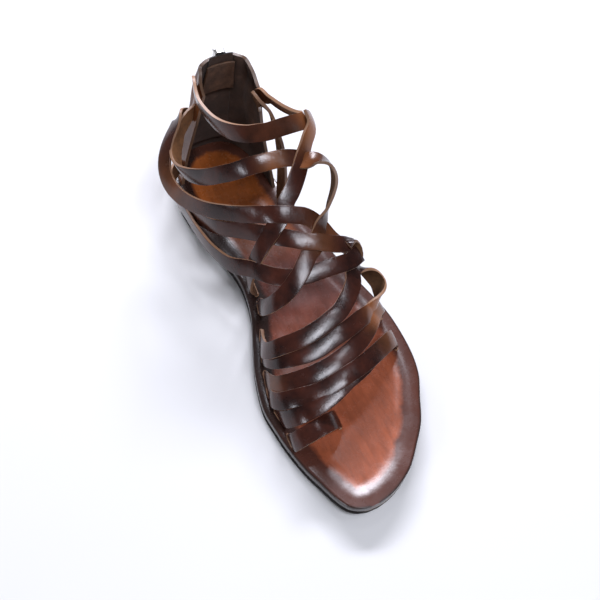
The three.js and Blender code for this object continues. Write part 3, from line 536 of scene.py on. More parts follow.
class Paint:
    """One material and the nodes that colour it."""

    def __init__(self, name, stretch=(1, 1, 1)):
        self.material = bpy.data.materials.new(name)
        self.material.use_nodes = True
        self.tree = self.material.node_tree
        self.place = self.coordinates("Object", stretch)

    def fill(self, node, inputs):
        """Links a node's inputs to other nodes, or writes plain values there."""
        for key, value in inputs.items():
            socket = node.inputs[key.replace("_", " ") if isinstance(key, str) else key]
            if isinstance(value, bpy.types.NodeSocket):
                self.tree.links.new(value, socket)
            else:
                socket.default_value = (*value, 1) if socket.type == "RGBA" else value
        return node

    def add(self, kind, **inputs):
        return self.fill(self.tree.nodes.new(kind), inputs)

    def coordinates(self, source, stretch):
        """Places in metres, or the piece's own pattern map, stretched for grain that runs one way."""
        found = self.tree.nodes.new("ShaderNodeTexCoord").outputs[source]
        return self.add("ShaderNodeMapping", Vector=found, Scale=stretch).outputs["Vector"]

    def noise(self, scale, detail=3, roughness=0.5, place=None):
        place = self.place if place is None else place
        inputs = {"Vector": place, "Scale": scale, "Detail": detail, "Roughness": roughness}
        return self.add("ShaderNodeTexNoise", **inputs).outputs["Fac"]

    def wave(self, direction, scale, distortion):
        node = self.add("ShaderNodeTexWave", Vector=self.place, Scale=scale, Distortion=distortion)
        node.bands_direction = direction
        return node.outputs["Fac"]

    def grain(self, scale):
        """Pebbled leather grain: cells with soft creases between them."""
        node = self.add("ShaderNodeTexVoronoi", Vector=self.place, Scale=scale, Randomness=1.0)
        node.feature = "SMOOTH_F1"
        return node.outputs["Distance"]

    def mark(self, name):
        """Values that the piece's points carry under a name."""
        node = self.tree.nodes.new("ShaderNodeAttribute")
        node.attribute_name = name
        return node.outputs["Fac"]

    def ramp(self, value, stops):
        node = self.add("ShaderNodeValToRGB", Fac=value)
        elements = node.color_ramp.elements
        while len(elements) < len(stops):
            elements.new(0.5)
        for element, (position, color) in zip(elements, stops):
            element.position = position
            element.color = (*color, 1) if isinstance(color, tuple) else (color, color, color, 1)
        return node.outputs["Color"]

    def mix(self, share, first, second, mode="MIX"):
        node = self.tree.nodes.new("ShaderNodeMix")
        node.data_type = "RGBA"
        node.blend_type = mode
        return self.fill(node, {0: share, 6: first, 7: second}).outputs[2]

    def maths(self, operation, *values):
        node = self.tree.nodes.new("ShaderNodeMath")
        node.operation = operation
        node.use_clamp = True
        return self.fill(node, dict(enumerate(values))).outputs[0]

    def finish(self, *bumps, **inputs):
        """Fills the shader, with bumps of (height, strength, distance) one on the other."""
        for height, strength, distance in bumps:
            node = self.add("ShaderNodeBump", Height=height, Strength=strength, Distance=distance)
            if "Normal" in inputs:
                self.tree.links.new(inputs["Normal"], node.inputs["Normal"])
            inputs["Normal"] = node.outputs["Normal"]
        self.fill(self.tree.nodes["Principled BSDF"], inputs)
        return self.material


def strap_leather(colors):
    """Glossy waxed leather: dark, lighter and redder where it is bent or rubbed."""
    paint = Paint("strap_leather")
    cloud = paint.noise(55, 4, 0.6)
    streak = paint.noise(420, 3, 0.6, paint.coordinates("Object", (1, 0.25, 1)))
    stops = tones(colors.strap_dark, (0.36, 1)) + tones(colors.strap_mid, (0.60, 1), (0.76, 1.6))
    base = paint.mix(paint.maths("MULTIPLY", streak, 0.30), paint.ramp(cloud, stops), colors.strap_dark)
    # On the counter the worn mark also carries a painted highlight at the top of its inner side
    rubbed = paint.maths("MULTIPLY", paint.mark("worn"), paint.ramp(cloud, [(0.25, 0.65), (0.7, 1.0)]))
    return paint.finish(
        (paint.noise(90), 0.22, 0.0005),
        (paint.noise(1, 4, 0.7, paint.coordinates("UV", (0.7, 7.0, 1))), 0.22, 0.0003),
        (paint.grain(1500), 0.12, 0.0002),
        (streak, 0.08, 0.0002),
        Base_Color=paint.mix(rubbed, base, colors.strap_worn),
        Roughness=paint.ramp(paint.noise(160, 4, 0.65), [(0.3, 0.15), (0.7, 0.29)]),
        Specular_IOR_Level=0.32, Coat_Weight=0.10, Coat_Roughness=0.14,
    )


def flesh_leather(colors):
    """Flesh side of the leather: matt and tan with a short pile, darkened per strap by painted shade."""
    paint = Paint("flesh_leather")
    stops = tones(colors.flesh, (0.3, 0.45), (0.55, 1), (0.8, 1.35))
    fibres = paint.ramp(paint.noise(140, 5, 0.7), stops)
    return paint.finish(
        (paint.noise(1800, 3, 0.7), 0.35, 0.0003),
        # Painted shade: the flesh side turns dark on straps whose inner faces lie in shade
        Base_Color=paint.mix(paint.mark("nap"), shaded(colors.flesh, 0.12), fibres),
        Roughness=0.78, Specular_IOR_Level=0.3,
    )


def cut_edge(colors):
    """Cut edge: pale fibres, darkened here and there by wax; the paleness each piece carries also holds a
    painted highlight along its edges.
    """
    paint = Paint("cut_edge")
    patches = paint.maths("SUBTRACT", paint.noise(60, 4, 0.6), 0.5)
    # A piece's paleness is partly the real pale cut edge and partly a painted highlight on lit edges
    share = paint.maths("ADD", paint.mark("pale"), patches)
    return paint.finish(
        (paint.noise(1400), 0.3, 0.0003),
        Base_Color=paint.ramp(share, tones(colors.edge, (0.15, 0.12), (0.55, 0.6), (0.85, 1))),
        Roughness=0.42, Specular_IOR_Level=0.6,
    )


def suede_lining(colors):
    """Dark napped lining inside the counter, with rubbed lighter patches."""
    paint = Paint("suede_lining")
    stops = tones(colors.lining, (0.35, 0.6), (0.6, 1), (0.8, 2.2))
    return paint.finish(
        (paint.noise(120, 4), 0.4, 0.001),
        (paint.noise(2200, 2, 0.8), 0.5, 0.0004),
        Base_Color=paint.ramp(paint.noise(70, 5, 0.7), stops),
        Roughness=0.9, Specular_IOR_Level=0.2, Sheen_Weight=0.12, Sheen_Roughness=0.5,
    )


def footbed_leather(colors):
    """Polished red-brown footbed, burnished dark along its rim and streaked by wear, with painted shade on
    its sides and on the inner rim at the waist.
    """
    paint = Paint("footbed_leather")
    cloud = paint.noise(34, 5, 0.6)
    streak = paint.noise(300, 4, 0.7, paint.coordinates("Object", (1, 0.16, 1)))
    toe, arch, heel = colors.footbed_toe, colors.footbed_arch, colors.footbed_heel
    base = paint.ramp(paint.mark("heelward"), [(0.05, toe), (0.42, arch), (0.60, arch), (0.95, heel)])
    shade = paint.ramp(cloud, [(0.28, 0.60), (0.55, 1.0), (0.8, 1.28)])
    base = paint.mix(1.0, base, shade, "MULTIPLY")
    fibre = paint.ramp(streak, [(0.3, 0.70), (0.6, 1.0), (0.85, 1.2)])
    base = paint.mix(1.0, base, fibre, "MULTIPLY")
    spots = paint.ramp(paint.noise(210, 2, 0.6), [(0.70, 0.0), (0.76, 0.5)])
    base = paint.mix(spots, base, shaded(toe, 0.45))
    wander = paint.maths("MULTIPLY", paint.maths("SUBTRACT", paint.noise(130), 0.5), 0.35)
    ring = paint.ramp(paint.maths("ADD", paint.mark("rim"), wander), [(0.41, 0.0), (0.55, 0.93)])
    tint = paint.mix(paint.ramp(cloud, [(0.3, 0.0), (0.7, 0.5)]), colors.rim, shaded(colors.rim, 1.7))
    base = paint.mix(ring, base, tint)
    # Painted shade: the side faces take the sole's near-black, and so does the inner rim at the waist
    side = paint.ramp(paint.mark("rim"), [(0.92, 0.0), (0.985, 0.85)])
    black = paint.maths("MAXIMUM", side, paint.maths("MULTIPLY", paint.mark("waist"), ring))
    return paint.finish(
        (paint.noise(60), 0.25, 0.0008),
        (streak, 0.14, 0.0002),
        (paint.grain(1300), 0.10, 0.0002),
        Base_Color=paint.mix(black, base, colors.sole),
        Roughness=paint.ramp(paint.noise(120, 5, 0.7), [(0.3, 0.20), (0.7, 0.32)]),
        Specular_IOR_Level=0.5, Coat_Weight=0.36, Coat_Roughness=0.17,
    )


def sole_rubber(colors):
    """Dark sole with a pale line along its upper edge and fine ribs underneath."""
    paint = Paint("sole_rubber")
    base = paint.ramp(paint.noise(80, 4), tones(colors.sole, (0.3, 0.7), (0.7, 1)))
    line = paint.ramp(paint.mark("level"), [(0.74, 0.0), (0.80, 1.0)])
    edge = paint.maths("MULTIPLY", line, paint.mark("toeward"))
    under = paint.maths("LESS_THAN", paint.mark("level"), 0.02)
    return paint.finish(
        (paint.maths("MULTIPLY", paint.wave("Y", 110, 0.0), under), 0.6, 0.0006),
        (paint.noise(900), 0.15, 0.0002),
        Base_Color=paint.mix(edge, base, colors.welt), Roughness=0.75, Specular_IOR_Level=0.12,
    )


def zip_fabric(colors):
    """Woven black tape: two crossed fine waves."""
    paint = Paint("zip_fabric")
    weave = paint.maths("MULTIPLY", paint.wave("X", 420, 1.0), paint.wave("Z", 420, 1.0))
    return paint.finish(
        (weave, 0.6, 0.0003),
        Base_Color=paint.ramp(weave, tones(colors.tape, (0.1, 0.5), (0.8, 1.8))),
        Roughness=0.85, Sheen_Weight=0.2,
    )


def guard_leather(colors):
    """Thin worn brown leather of the guard inside the zip."""
    paint = Paint("guard_leather")
    stops = tones(colors.guard, (0.3, 0.4), (0.55, 1), (0.8, 1.9))
    return paint.finish(
        (paint.noise(220, 4), 0.4, 0.0006),
        (paint.grain(1500), 0.15, 0.0002),
        Base_Color=paint.ramp(paint.noise(160, 4, 0.7), stops), Roughness=0.5,
    )


def zip_metal(colors):
    """Bright nickel of the teeth, slider and pull, lightly scratched."""
    paint = Paint("zip_metal", (1, 1, 0.3))
    scratch = paint.noise(1500, 4, 0.7)
    return paint.finish(
        (scratch, 0.08, 0.0001),
        Base_Color=paint.ramp(scratch, tones(colors.metal, (0.35, 0.75), (0.65, 1))),
        Roughness=paint.ramp(scratch, [(0.3, 0.30), (0.7, 0.50)]), Metallic=1.0,
    )


def stitch_thread(colors):
    """Waxed brown thread with its twist."""
    paint = Paint("stitch_thread", (1, 1, 1.6))
    twist = paint.noise(2600, 2)
    return paint.finish(
        (twist, 0.4, 0.0002),
        Base_Color=paint.ramp(twist, tones(colors.thread, (0.35, 0.6), (0.65, 1))), Roughness=0.55,
    )


FINISHES = {}


def finish_of(maker):
    """One material of each finish, made when it is first asked for."""
    if maker.__name__ not in FINISHES:
        group = bpy.context.scene.sandal_colors
        colors = {name: tuple(getattr(group, name)) for name in group.__annotations__}
        FINISHES[maker.__name__] = maker(SimpleNamespace(**colors))
    return FINISHES[maker.__name__]


# Modelling helpers
def deselect_all():
    if bpy.context.mode != "OBJECT":
        bpy.ops.object.mode_set(mode="OBJECT")
    bpy.ops.object.select_all(action="DESELECT")


def only(piece):
    deselect_all()
    piece.select_set(True)
    bpy.context.view_layer.objects.active = piece


@contextmanager
def all_selected(piece):
    """Edit mode on one piece, with all of its mesh selected."""
    only(piece)
    bpy.ops.object.mode_set(mode="EDIT")
    bpy.ops.mesh.select_all(action="SELECT")
    yield
    bpy.ops.object.mode_set(mode="OBJECT")


def new_grid(name, columns, rows):
    """Flat grid of a unit's size, with its own pattern map."""
    deselect_all()
    bpy.ops.mesh.primitive_grid_add(x_subdivisions=columns, y_subdivisions=rows, size=1)
    piece = bpy.context.active_object
    piece.name = name
    piece.data.name = name
    return piece


def shape_grid(piece, place, **marks):
    """Moves a unit grid's points to place(across, along), in millimetres, and stores named values."""
    stored = {}
    for name in marks:
        piece.data.attributes.new(name, "FLOAT", "POINT")
        stored[name] = []
    for vertex in piece.data.vertices:
        across, along = vertex.co.x + 0.5, vertex.co.y + 0.5
        point = place(across, along)
        for name, value_at in marks.items():
            stored[name].append(value_at(point, along))
        vertex.co = in_frame(point)
    for name, values in stored.items():
        piece.data.attributes[name].data.foreach_set("value", values)
    piece.data.update()


def apply_modifier(piece, kind, **settings):
    only(piece)
    modifier = piece.modifiers.new(kind.title(), kind)
    for key, value in settings.items():
        setattr(modifier, key, value)
    bpy.ops.object.modifier_apply(modifier=modifier.name)


def smooth(piece, angle=50):
    only(piece)
    bpy.ops.object.shade_smooth_by_angle(angle=math.radians(angle))


def dress(piece, *makers):
    piece.data.materials.clear()
    for maker in makers:
        piece.data.materials.append(finish_of(maker))


def join(pieces, name):
    deselect_all()
    for piece in pieces:
        piece.select_set(True)
    bpy.context.view_layer.objects.active = pieces[0]
    bpy.ops.object.join()
    pieces[0].name = name
    pieces[0].data.name = name
    return pieces[0]


def settle(piece, slot, *nodes):
    """Puts a finished piece on the sandal's body, in place of its solids."""
    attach(piece, SHOE)
    if nodes:
        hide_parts(*nodes)


def smooth_step(value):
    t = clamp(value, 0, 1)
    return t * t * (3 - 2 * t)


def face_away(piece, direction_at):
    """Turns an open sheet's faces over if they look against direction_at(face)."""
    if sum(face.normal.dot(direction_at(face)) for face in piece.data.polygons) < 0:
        with all_selected(piece):
            bpy.ops.mesh.flip_normals()


def thicken(piece, thick, offset, makers, rounding):
    """Gives a sheet its thickness, with its own finish for face, back and cut edge."""
    dress(piece, *makers)
    last = len(makers) - 1
    apply_modifier(piece, "SOLIDIFY", thickness=thick * MM, offset=offset, use_even_offset=False,
                   material_offset=min(1, last), material_offset_rim=min(2, last))
    apply_modifier(piece, "BEVEL", width=rounding * MM, segments=2, limit_method="ANGLE",
                   angle_limit=math.radians(40), use_clamp_overlap=True)
    smooth(piece)
    apply_modifier(piece, "WEIGHTED_NORMAL", weight=60, keep_sharp=True)


# How pale a strap's cut edges are, with a painted highlight in that paleness, how light its flesh side is
# against painted shade, and the width that its ends lose over a reach in mm
EDGE_PALE_AND_HIGHLIGHT = {"ankle": 0.9, "third": 0.7, "second": 0.6, "fifth": 0.9, "sixth": 1.0, "ankle return": 0.6}
FLESH_LIGHT_AND_SHADE = {"second": 1.0, "ankle": 0.8, "sixth": 0.35, "small loop": 0.4}
OTHER_PALE_AND_PAINTED_LIGHT = 0.5
NARROW_ENDS = {"eighth": 0.5}
OTHER_NARROW = 0.22
NARROW_REACH = 7

# Worn places of the straps: share of the length, reach in the same share, strength
WORN = {
    "ankle": ((0.50, 0.10, 0.10), (0.63, 0.04, 0.55), (0.76, 0.10, 0.80)),
    "ankle return": ((0.09, 0.08, 0.85),),
    "second": ((0.16, 0.13, 0.95), (0.85, 0.05, 0.60)),
    "second return": ((0.97, 0.05, 0.50), (0.58, 0.06, 0.25)),
    "side": ((0.45, 0.30, 0.50),),
    "third": ((0.25, 0.08, 0.30), (0.72, 0.06, 0.25)),
    "fourth": ((0.80, 0.06, 0.30),),
    "fifth": ((0.15, 0.08, 0.35),),
    "sixth": ((0.58, 0.04, 0.90),),
    "seventh": ((0.76, 0.08, 0.80), (0.15, 0.06, 0.25)),
    "eighth": ((0.84, 0.09, 0.30),),
}


def worn_at(strap, share):
    """How rubbed a strap is at a share of its length, from 0 to 1."""
    spots = WORN.get(strap, ())
    rubbed = sum(strength * math.exp(-((share - at) / reach) ** 2) for at, reach, strength in spots)
    return clamp(rubbed, 0, 1)


def width_kept(strap, path, narrow_ends, step):
    """Share of its width that a strap keeps at a step of its path."""
    spacing = (path[1].place - path[0].place).length
    lost = 0
    for steps, narrows in zip((step, len(path) - 1 - step), narrow_ends):
        if narrows:
            lost += 1 - smooth_step(steps * spacing / NARROW_REACH)
    return 1 - NARROW_ENDS.get(strap, OTHER_NARROW) * lost


def strap_piece(name, strap, path, narrow_ends, widening=1):
    """One strap along its path: crowned face, flesh side in, cut edges."""
    width = size_of("strap_width") * widening
    crown = size_of("strap_crown")
    columns = 6
    count = len(path) - 1
    piece = new_grid(name, columns, count)

    def place(across, along):
        step = int(round(along * count))
        spot = path[step]
        side = spot.tangent.cross(spot.outward).normalized()
        normal = side.cross(spot.tangent).normalized()
        share = 2 * across - 1
        kept = width_kept(strap, path, narrow_ends, step)
        return spot.place + side * (share * width / 2 * kept) + normal * (crown * (1 - share**2))

    shape_grid(
        piece, place,
        worn=lambda point, along: worn_at(strap, along),
        pale=lambda point, along: EDGE_PALE_AND_HIGHLIGHT.get(strap, OTHER_PALE_AND_PAINTED_LIGHT),
        nap=lambda point, along: FLESH_LIGHT_AND_SHADE.get(strap, OTHER_PALE_AND_PAINTED_LIGHT),
    )
    stretch = sum((b.place - a.place).length for a, b in zip(path, path[1:])) / width
    for corner in piece.data.uv_layers.active.data:
        corner.uv.y *= stretch
    face_away(piece, lambda face: path[min(face.index // columns, count)].outward)
    thicken(piece, size_of("strap_thickness"), 0, (strap_leather, flesh_leather, cut_edge), 0.3)
    return piece


def counter_wear_and_highlight(point, along):
    """How much lighter the counter is painted: rubbed low down, and at the top of its inner side partly
    worn, partly a painted highlight on its creases.
    """
    # Top of the inner side: wear together with a painted highlight on the creases
    top_inner = smooth_step((along - 0.55) / 0.3) * smooth_step((-point.x - 6) / 10)
    return 0.35 * (1 - along) + 0.55 * top_inner


def wall_sheet(name, up_range, turn_range, off, columns, rows, folds=0):
    """Curved upright sheet that follows the counter, off its outer face."""
    piece = new_grid(name, columns, rows)

    def place(across, along):
        turn = turn_range[0] + (turn_range[1] - turn_range[0]) * across
        up = up_range[0] + (up_range[1] - up_range[0]) * along
        return counter_point(up, turn, off + folds * fold_off(up, turn) * clamp(up * 3, 0, 1))

    # The counter's low edge paleness also gives the thin painted highlight along its rim
    shape_grid(piece, place, worn=counter_wear_and_highlight, pale=lambda point, along: 0.3)
    middle = in_frame(sum((counter_point(0.5, turn, 0) for turn in (0.5, 0, 1)), Vector()) / 3)
    face_away(piece, lambda face: face.center - middle)
    return piece


def delete_faces(piece, is_cut):
    """Deletes the faces whose centre answers the test."""
    with all_selected(piece):
        bpy.ops.mesh.select_mode(type="FACE")
        bpy.ops.mesh.select_all(action="DESELECT")
        bpy.ops.object.mode_set(mode="OBJECT")
        for face in piece.data.polygons:
            face.select = is_cut(face.center)
        bpy.ops.object.mode_set(mode="EDIT")
        bpy.ops.mesh.delete(type="FACE")


def bisect_all(piece, point, normal):
    """Cuts the piece's faces along a plane through a point."""
    with all_selected(piece):
        bpy.ops.mesh.bisect(plane_co=in_frame(point), plane_no=normal)


def in_zip(point):
    """Across, out and up in the zip's frame, in millimetres, of a point in metres."""
    from_foot = point / MM - SHIFT - ZIP_FOOT
    return from_foot.dot(ZIP_ACROSS), from_foot.dot(ZIP_OUT), from_foot.dot(ZIP_UP)


# Sole: slabs between two heights, and its outline for distances to the edge
SlabForm = namedtuple("SlabForm", "start end bottom top round_low round_high")
SOLE_START = 0.0008
SOLE_END = 0.9992
HEEL_END = 0.285


def wave_share(k, count):
    """Share from 0 to 1 that is densest at both ends."""
    return (1 - math.cos(math.pi * k / count)) / 2


def outline_tree():
    tree = kdtree.KDTree(2 * EDGE_STEPS + 2)
    for k in range(EDGE_STEPS + 1):
        along = SOLE_START + (SOLE_END - SOLE_START) * wave_share(k, EDGE_STEPS)
        for side, sign in enumerate((-1, 1)):
            x = (centre_at(along) + sign * half_at(along)) * BALL_WIDTH
            tree.insert(Vector((x, section_y(along), 0)), 2 * k + side)
    tree.balance()
    return tree


OUTLINE = outline_tree()


def edge_distance(point):
    """Plan distance from the sole's edge, in millimetres."""
    return OUTLINE.find(Vector((point.x, point.y, 0)))[2]


def footbed_rise(distance):
    """Height of the dished footbed over its middle, at a distance from the edge."""
    reach, flat = size_of("dish_reach"), size_of("rim_flat")
    return size_of("rim_rise") * smooth_step((reach - distance) / (reach - flat))


def slab_ring(form, along, low_columns, top_columns, rise):
    """Closed section of a sole slab, from its lower inner edge round to its start."""
    half = max(half_at(along) * BALL_WIDTH, 1.2)
    low, high = form.bottom(along), form.top(along)
    soft_low, soft_high = min(form.round_low, half / 3), min(form.round_high, half / 3)
    rim = rise(0)
    centre, y = centre_at(along) * BALL_WIDTH, section_y(along)
    side = [
        (half, low + soft_low),
        (half, (low + high + rim) / 2),
        (half, high + rim - soft_high),
        (half - soft_high * 0.3, high + rim - soft_high * 0.3),
    ]
    ring = []
    for j in range(low_columns + 1):
        ring.append(Vector((centre + (half - soft_low) * (2 * j / low_columns - 1), y, low)))
    ring += [Vector((centre + x, y, z)) for x, z in side]
    for j in range(top_columns + 1):
        point = Vector((centre + (half - soft_high) * (1 - 2 * j / top_columns), y, high))
        point.z += rise(edge_distance(point))
        ring.append(point)
    ring += [Vector((centre - x, y, z)) for x, z in reversed(side)]
    return ring + ring[:1]


def slab_piece(name, form, low_columns, top_columns, stations, rise=lambda distance: 0, **marks):
    """Closed slab of the sole: a grid wrapped round its sections, with its tips closed."""
    rings = []
    for k in range(stations + 1):
        along = form.start + (form.end - form.start) * wave_share(k, stations)
        rings.append(slab_ring(form, along, low_columns, top_columns, rise))
    around = len(rings[0]) - 1
    piece = new_grid(name, around, stations)

    def place(across, along):
        return rings[int(round(along * stations))][int(round(across * around))]

    shape_grid(piece, place, **marks)
    with all_selected(piece):
        bpy.ops.mesh.remove_doubles(threshold=0.001 * MM)
        bpy.ops.mesh.select_all(action="DESELECT")
        bpy.ops.mesh.select_non_manifold()
        bpy.ops.mesh.fill_holes(sides=0)
        bpy.ops.mesh.select_all(action="SELECT")
        bpy.ops.mesh.normals_make_consistent(inside=False)
    return piece


def share_along(point):
    return (LENGTH / 2 - point.y) / LENGTH


def past_middle(point):
    """Millimetres from the sole's middle line to a point, towards the outer side."""
    return point.x - centre_at(clamp(share_along(point), 0, 1)) * BALL_WIDTH


def level_in(form):
    """Share of a slab's height at a point."""
    def level(point, _):
        along = clamp(share_along(point), 0, 1)
        low, high = form.bottom(along), form.top(along)
        return (point.z - low) / (high - low)

    return level


def rimward(point, _):
    """From 0 well inside the footbed to 1 at its edge."""
    return clamp(1 - edge_distance(point) / RIM_REACH, 0, 1)


def heelward(point, _):
    """From 0 under the toes to 1 under the heel."""
    return clamp((0.75 - share_along(point)) / 0.55, 0, 1)


def waist(point, _):
    """From 0 to 1 on the inner side behind the toes, where painted shade makes the rim almost black."""
    return 0.85 * smooth_step((0.86 - share_along(point)) / 0.12) * smooth_step(-past_middle(point) / 12)


def toeward(point, _):
    """From 0 to 1 towards the outer side of the toe, where the sole's pale edge shows."""
    return smooth_step((share_along(point) - 0.80) / 0.12) * smooth_step(past_middle(point) / 12 + 0.8)


def length_property(label, description, millimetres):
    return bpy.props.FloatProperty(
        name=label, description=description, default=millimetres * MM, unit="LENGTH")


def color_property(label, description, default):
    return bpy.props.FloatVectorProperty(
        name=label, description=description, default=default, size=3, min=0, max=1, subtype="COLOR")


class SandalSizes(bpy.types.PropertyGroup):
    """Sizes of the scene's own detail."""

    strap_width: length_property("Strap width", "Width of every strap", STRAP_WIDTH)
    strap_thickness: length_property("Strap thickness", "Thickness of the leather", 1.7)
    strap_crown: length_property("Strap crown", "Rise of a strap's face over its edges", 0.32)
    rim_rise: length_property("Rim rise", "Height of the footbed's rim", RIM_HEIGHT)
    dish_reach: length_property("Dish reach", "Distance from the edge where the footbed starts to rise", 15)
    rim_flat: length_property("Rim flat", "Width of the level top of the rim", 4.5)
    stitch_pitch: length_property("Stitch pitch", "Distance between the stitches of the zip", 3)
    fold_depth: bpy.props.FloatProperty(
        name="Fold depth", description="Share of the counter's creases that shows", default=1.4,
        subtype="FACTOR")


def size_of(name):
    """One of the panel's lengths, in millimetres."""
    return getattr(bpy.context.scene.sandal_sizes, name) / MM


class SandalColors(bpy.types.PropertyGroup):
    """Colours of the leather, sole and zip."""

    strap_dark: color_property("Strap dark", "Deepest brown of the straps", (0.016, 0.005, 0.004))
    strap_mid: color_property("Strap mid", "Lighter brown of the straps", (0.056, 0.015, 0.009))
    # Also the colour of the counter's painted highlight at the top of its inner side
    strap_worn: color_property("Strap worn", "Straps where they are bent or rubbed", (0.36, 0.13, 0.045))
    flesh: color_property("Flesh side", "Rough inner side of the straps", (0.22, 0.10, 0.04))
    # At full paleness this colour also serves as the painted highlight on lit cut edges
    edge: color_property("Cut edge", "Pale cut edge of the leather", (0.34, 0.18, 0.10))
    lining: color_property("Lining", "Suede inside the counter", (0.064, 0.034, 0.022))
    footbed_toe: color_property("Footbed toe", "Footbed under the toes", (0.38, 0.100, 0.044))
    footbed_heel: color_property("Footbed heel", "Footbed under the heel", (0.42, 0.115, 0.026))
    footbed_arch: color_property("Footbed arch", "Footbed under the arch", (0.16, 0.050, 0.036))
    rim: color_property("Rim", "Burnished rim of the footbed", (0.062, 0.022, 0.016))
    sole: color_property("Sole", "Sole and heel", (0.012, 0.008, 0.007))
    welt: color_property("Sole edge", "Pale line along the sole's upper edge", (0.48, 0.42, 0.38))
    guard: color_property("Guard", "Leather behind the zip", (0.110, 0.055, 0.030))
    tape: color_property("Tape", "Woven tape of the zip", (0.012, 0.011, 0.010))
    metal: color_property("Metal", "Teeth, slider and pull", (0.72, 0.71, 0.68))
    thread: color_property("Thread", "Stitching along the zip", (0.10, 0.05, 0.025))


class SandalFootbed(bpy.types.Operator):
    """Model the dished footbed with its burnished rim"""

    bl_idname = "sandal.footbed"
    bl_label = "Footbed"

    def execute(self, context):
        form = SlabForm(SOLE_START, SOLE_END, insole_bottom, footbed, 0.5, 1.1)
        piece = slab_piece(
            "footbed", form, 6, 36, 150, footbed_rise,
            rim=rimward, heelward=heelward, waist=waist,
        )
        smooth(piece, 60)
        dress(piece, footbed_leather)
        settle(piece, "footbed_leather", "insole")
        return {"FINISHED"}


class SandalSole(bpy.types.Operator):
    """Model the thin outsole and the low heel"""

    bl_idname = "sandal.sole"
    bl_label = "Sole and heel"

    def execute(self, context):
        outsole = SlabForm(SOLE_START, SOLE_END, ground_at, outsole_top, 0.6, 0.5)
        heel = SlabForm(SOLE_START, HEEL_END, floor_at, heel_top, 0.7, 0.4)
        for node, form, stations in (("outsole", outsole, 120), ("heel", heel, 40)):
            marks = {"level": level_in(form), "toeward": toeward}
            piece = slab_piece(f"{node}_rubber", form, 8, 8, stations, **marks)
            smooth(piece, 45)
            dress(piece, sole_rubber)
            settle(piece, node, node)
        return {"FINISHED"}


class SandalCounter(bpy.types.Operator):
    """Model the creased heel counter with its slit and suede lining"""

    bl_idname = "sandal.counter"
    bl_label = "Heel counter"

    def execute(self, context):
        folds = context.scene.sandal_sizes.fold_depth
        piece = wall_sheet("heel_counter", (0, 1), (0, 1), 0, 96, 36, folds)
        half = SLIT_WIDTH / 2
        bisect_all(piece, zip_point(-half, 0, 0), ZIP_ACROSS)
        bisect_all(piece, zip_point(half, 0, 0), ZIP_ACROSS)
        bisect_all(piece, zip_point(0, 0, SLIT_FROM), ZIP_UP)

        def is_in_slit(centre):
            across, out, up = in_zip(centre)
            return abs(across) < half and up > SLIT_FROM and out > -20

        delete_faces(piece, is_in_slit)
        thicken(piece, COUNTER_WALL, -1, (strap_leather, suede_lining, cut_edge), 0.5)
        settle(piece, "upper_leather", "upper")
        return {"FINISHED"}


class SandalStraps(bpy.types.Operator):
    """Model the crisscross straps, one piece each"""

    bl_idname = "sandal.straps"
    bl_label = "Straps"

    def execute(self, context):
        for strap in STRAPS:
            narrow_ends = (strap.start is not None, strap.end is not None)
            name = "strap_" + strap.name.replace(" ", "_")
            piece = strap_piece(name, strap.name, STRAP_PATHS[strap.name], narrow_ends)
            settle(piece, "upper_leather", "upper")
        return {"FINISHED"}


class SandalToeLoop(bpy.types.Operator):
    """Model the loop round the big toe"""

    bl_idname = "sandal.toe_loop"
    bl_label = "Toe loop"

    def execute(self, context):
        piece = strap_piece("big_toe_loop", "toe loop", LOOP_PATH, (True, True), LOOP_WIDENING)
        settle(piece, "upper_leather", "toe_loop")
        return {"FINISHED"}


# Tape and guard from and to, in shares of the counter's height and of its way round
TAPE_UP = (0.14, 1.03)
TAPE_TURN = (0.38, 0.62)
GUARD_UP = (0.70, 0.96)
GUARD_TURN = (0.34, 0.66)

# A stitch: half its width, thickness and length, the length in pitches, and its place beside the slit
STITCH_HALF_WIDE = 0.35
STITCH_HALF_THICK = 0.22
STITCH_HALF_LONG = 0.4
STITCH_OFF_SLIT = 1.7
FIRST_STITCH = 1.5


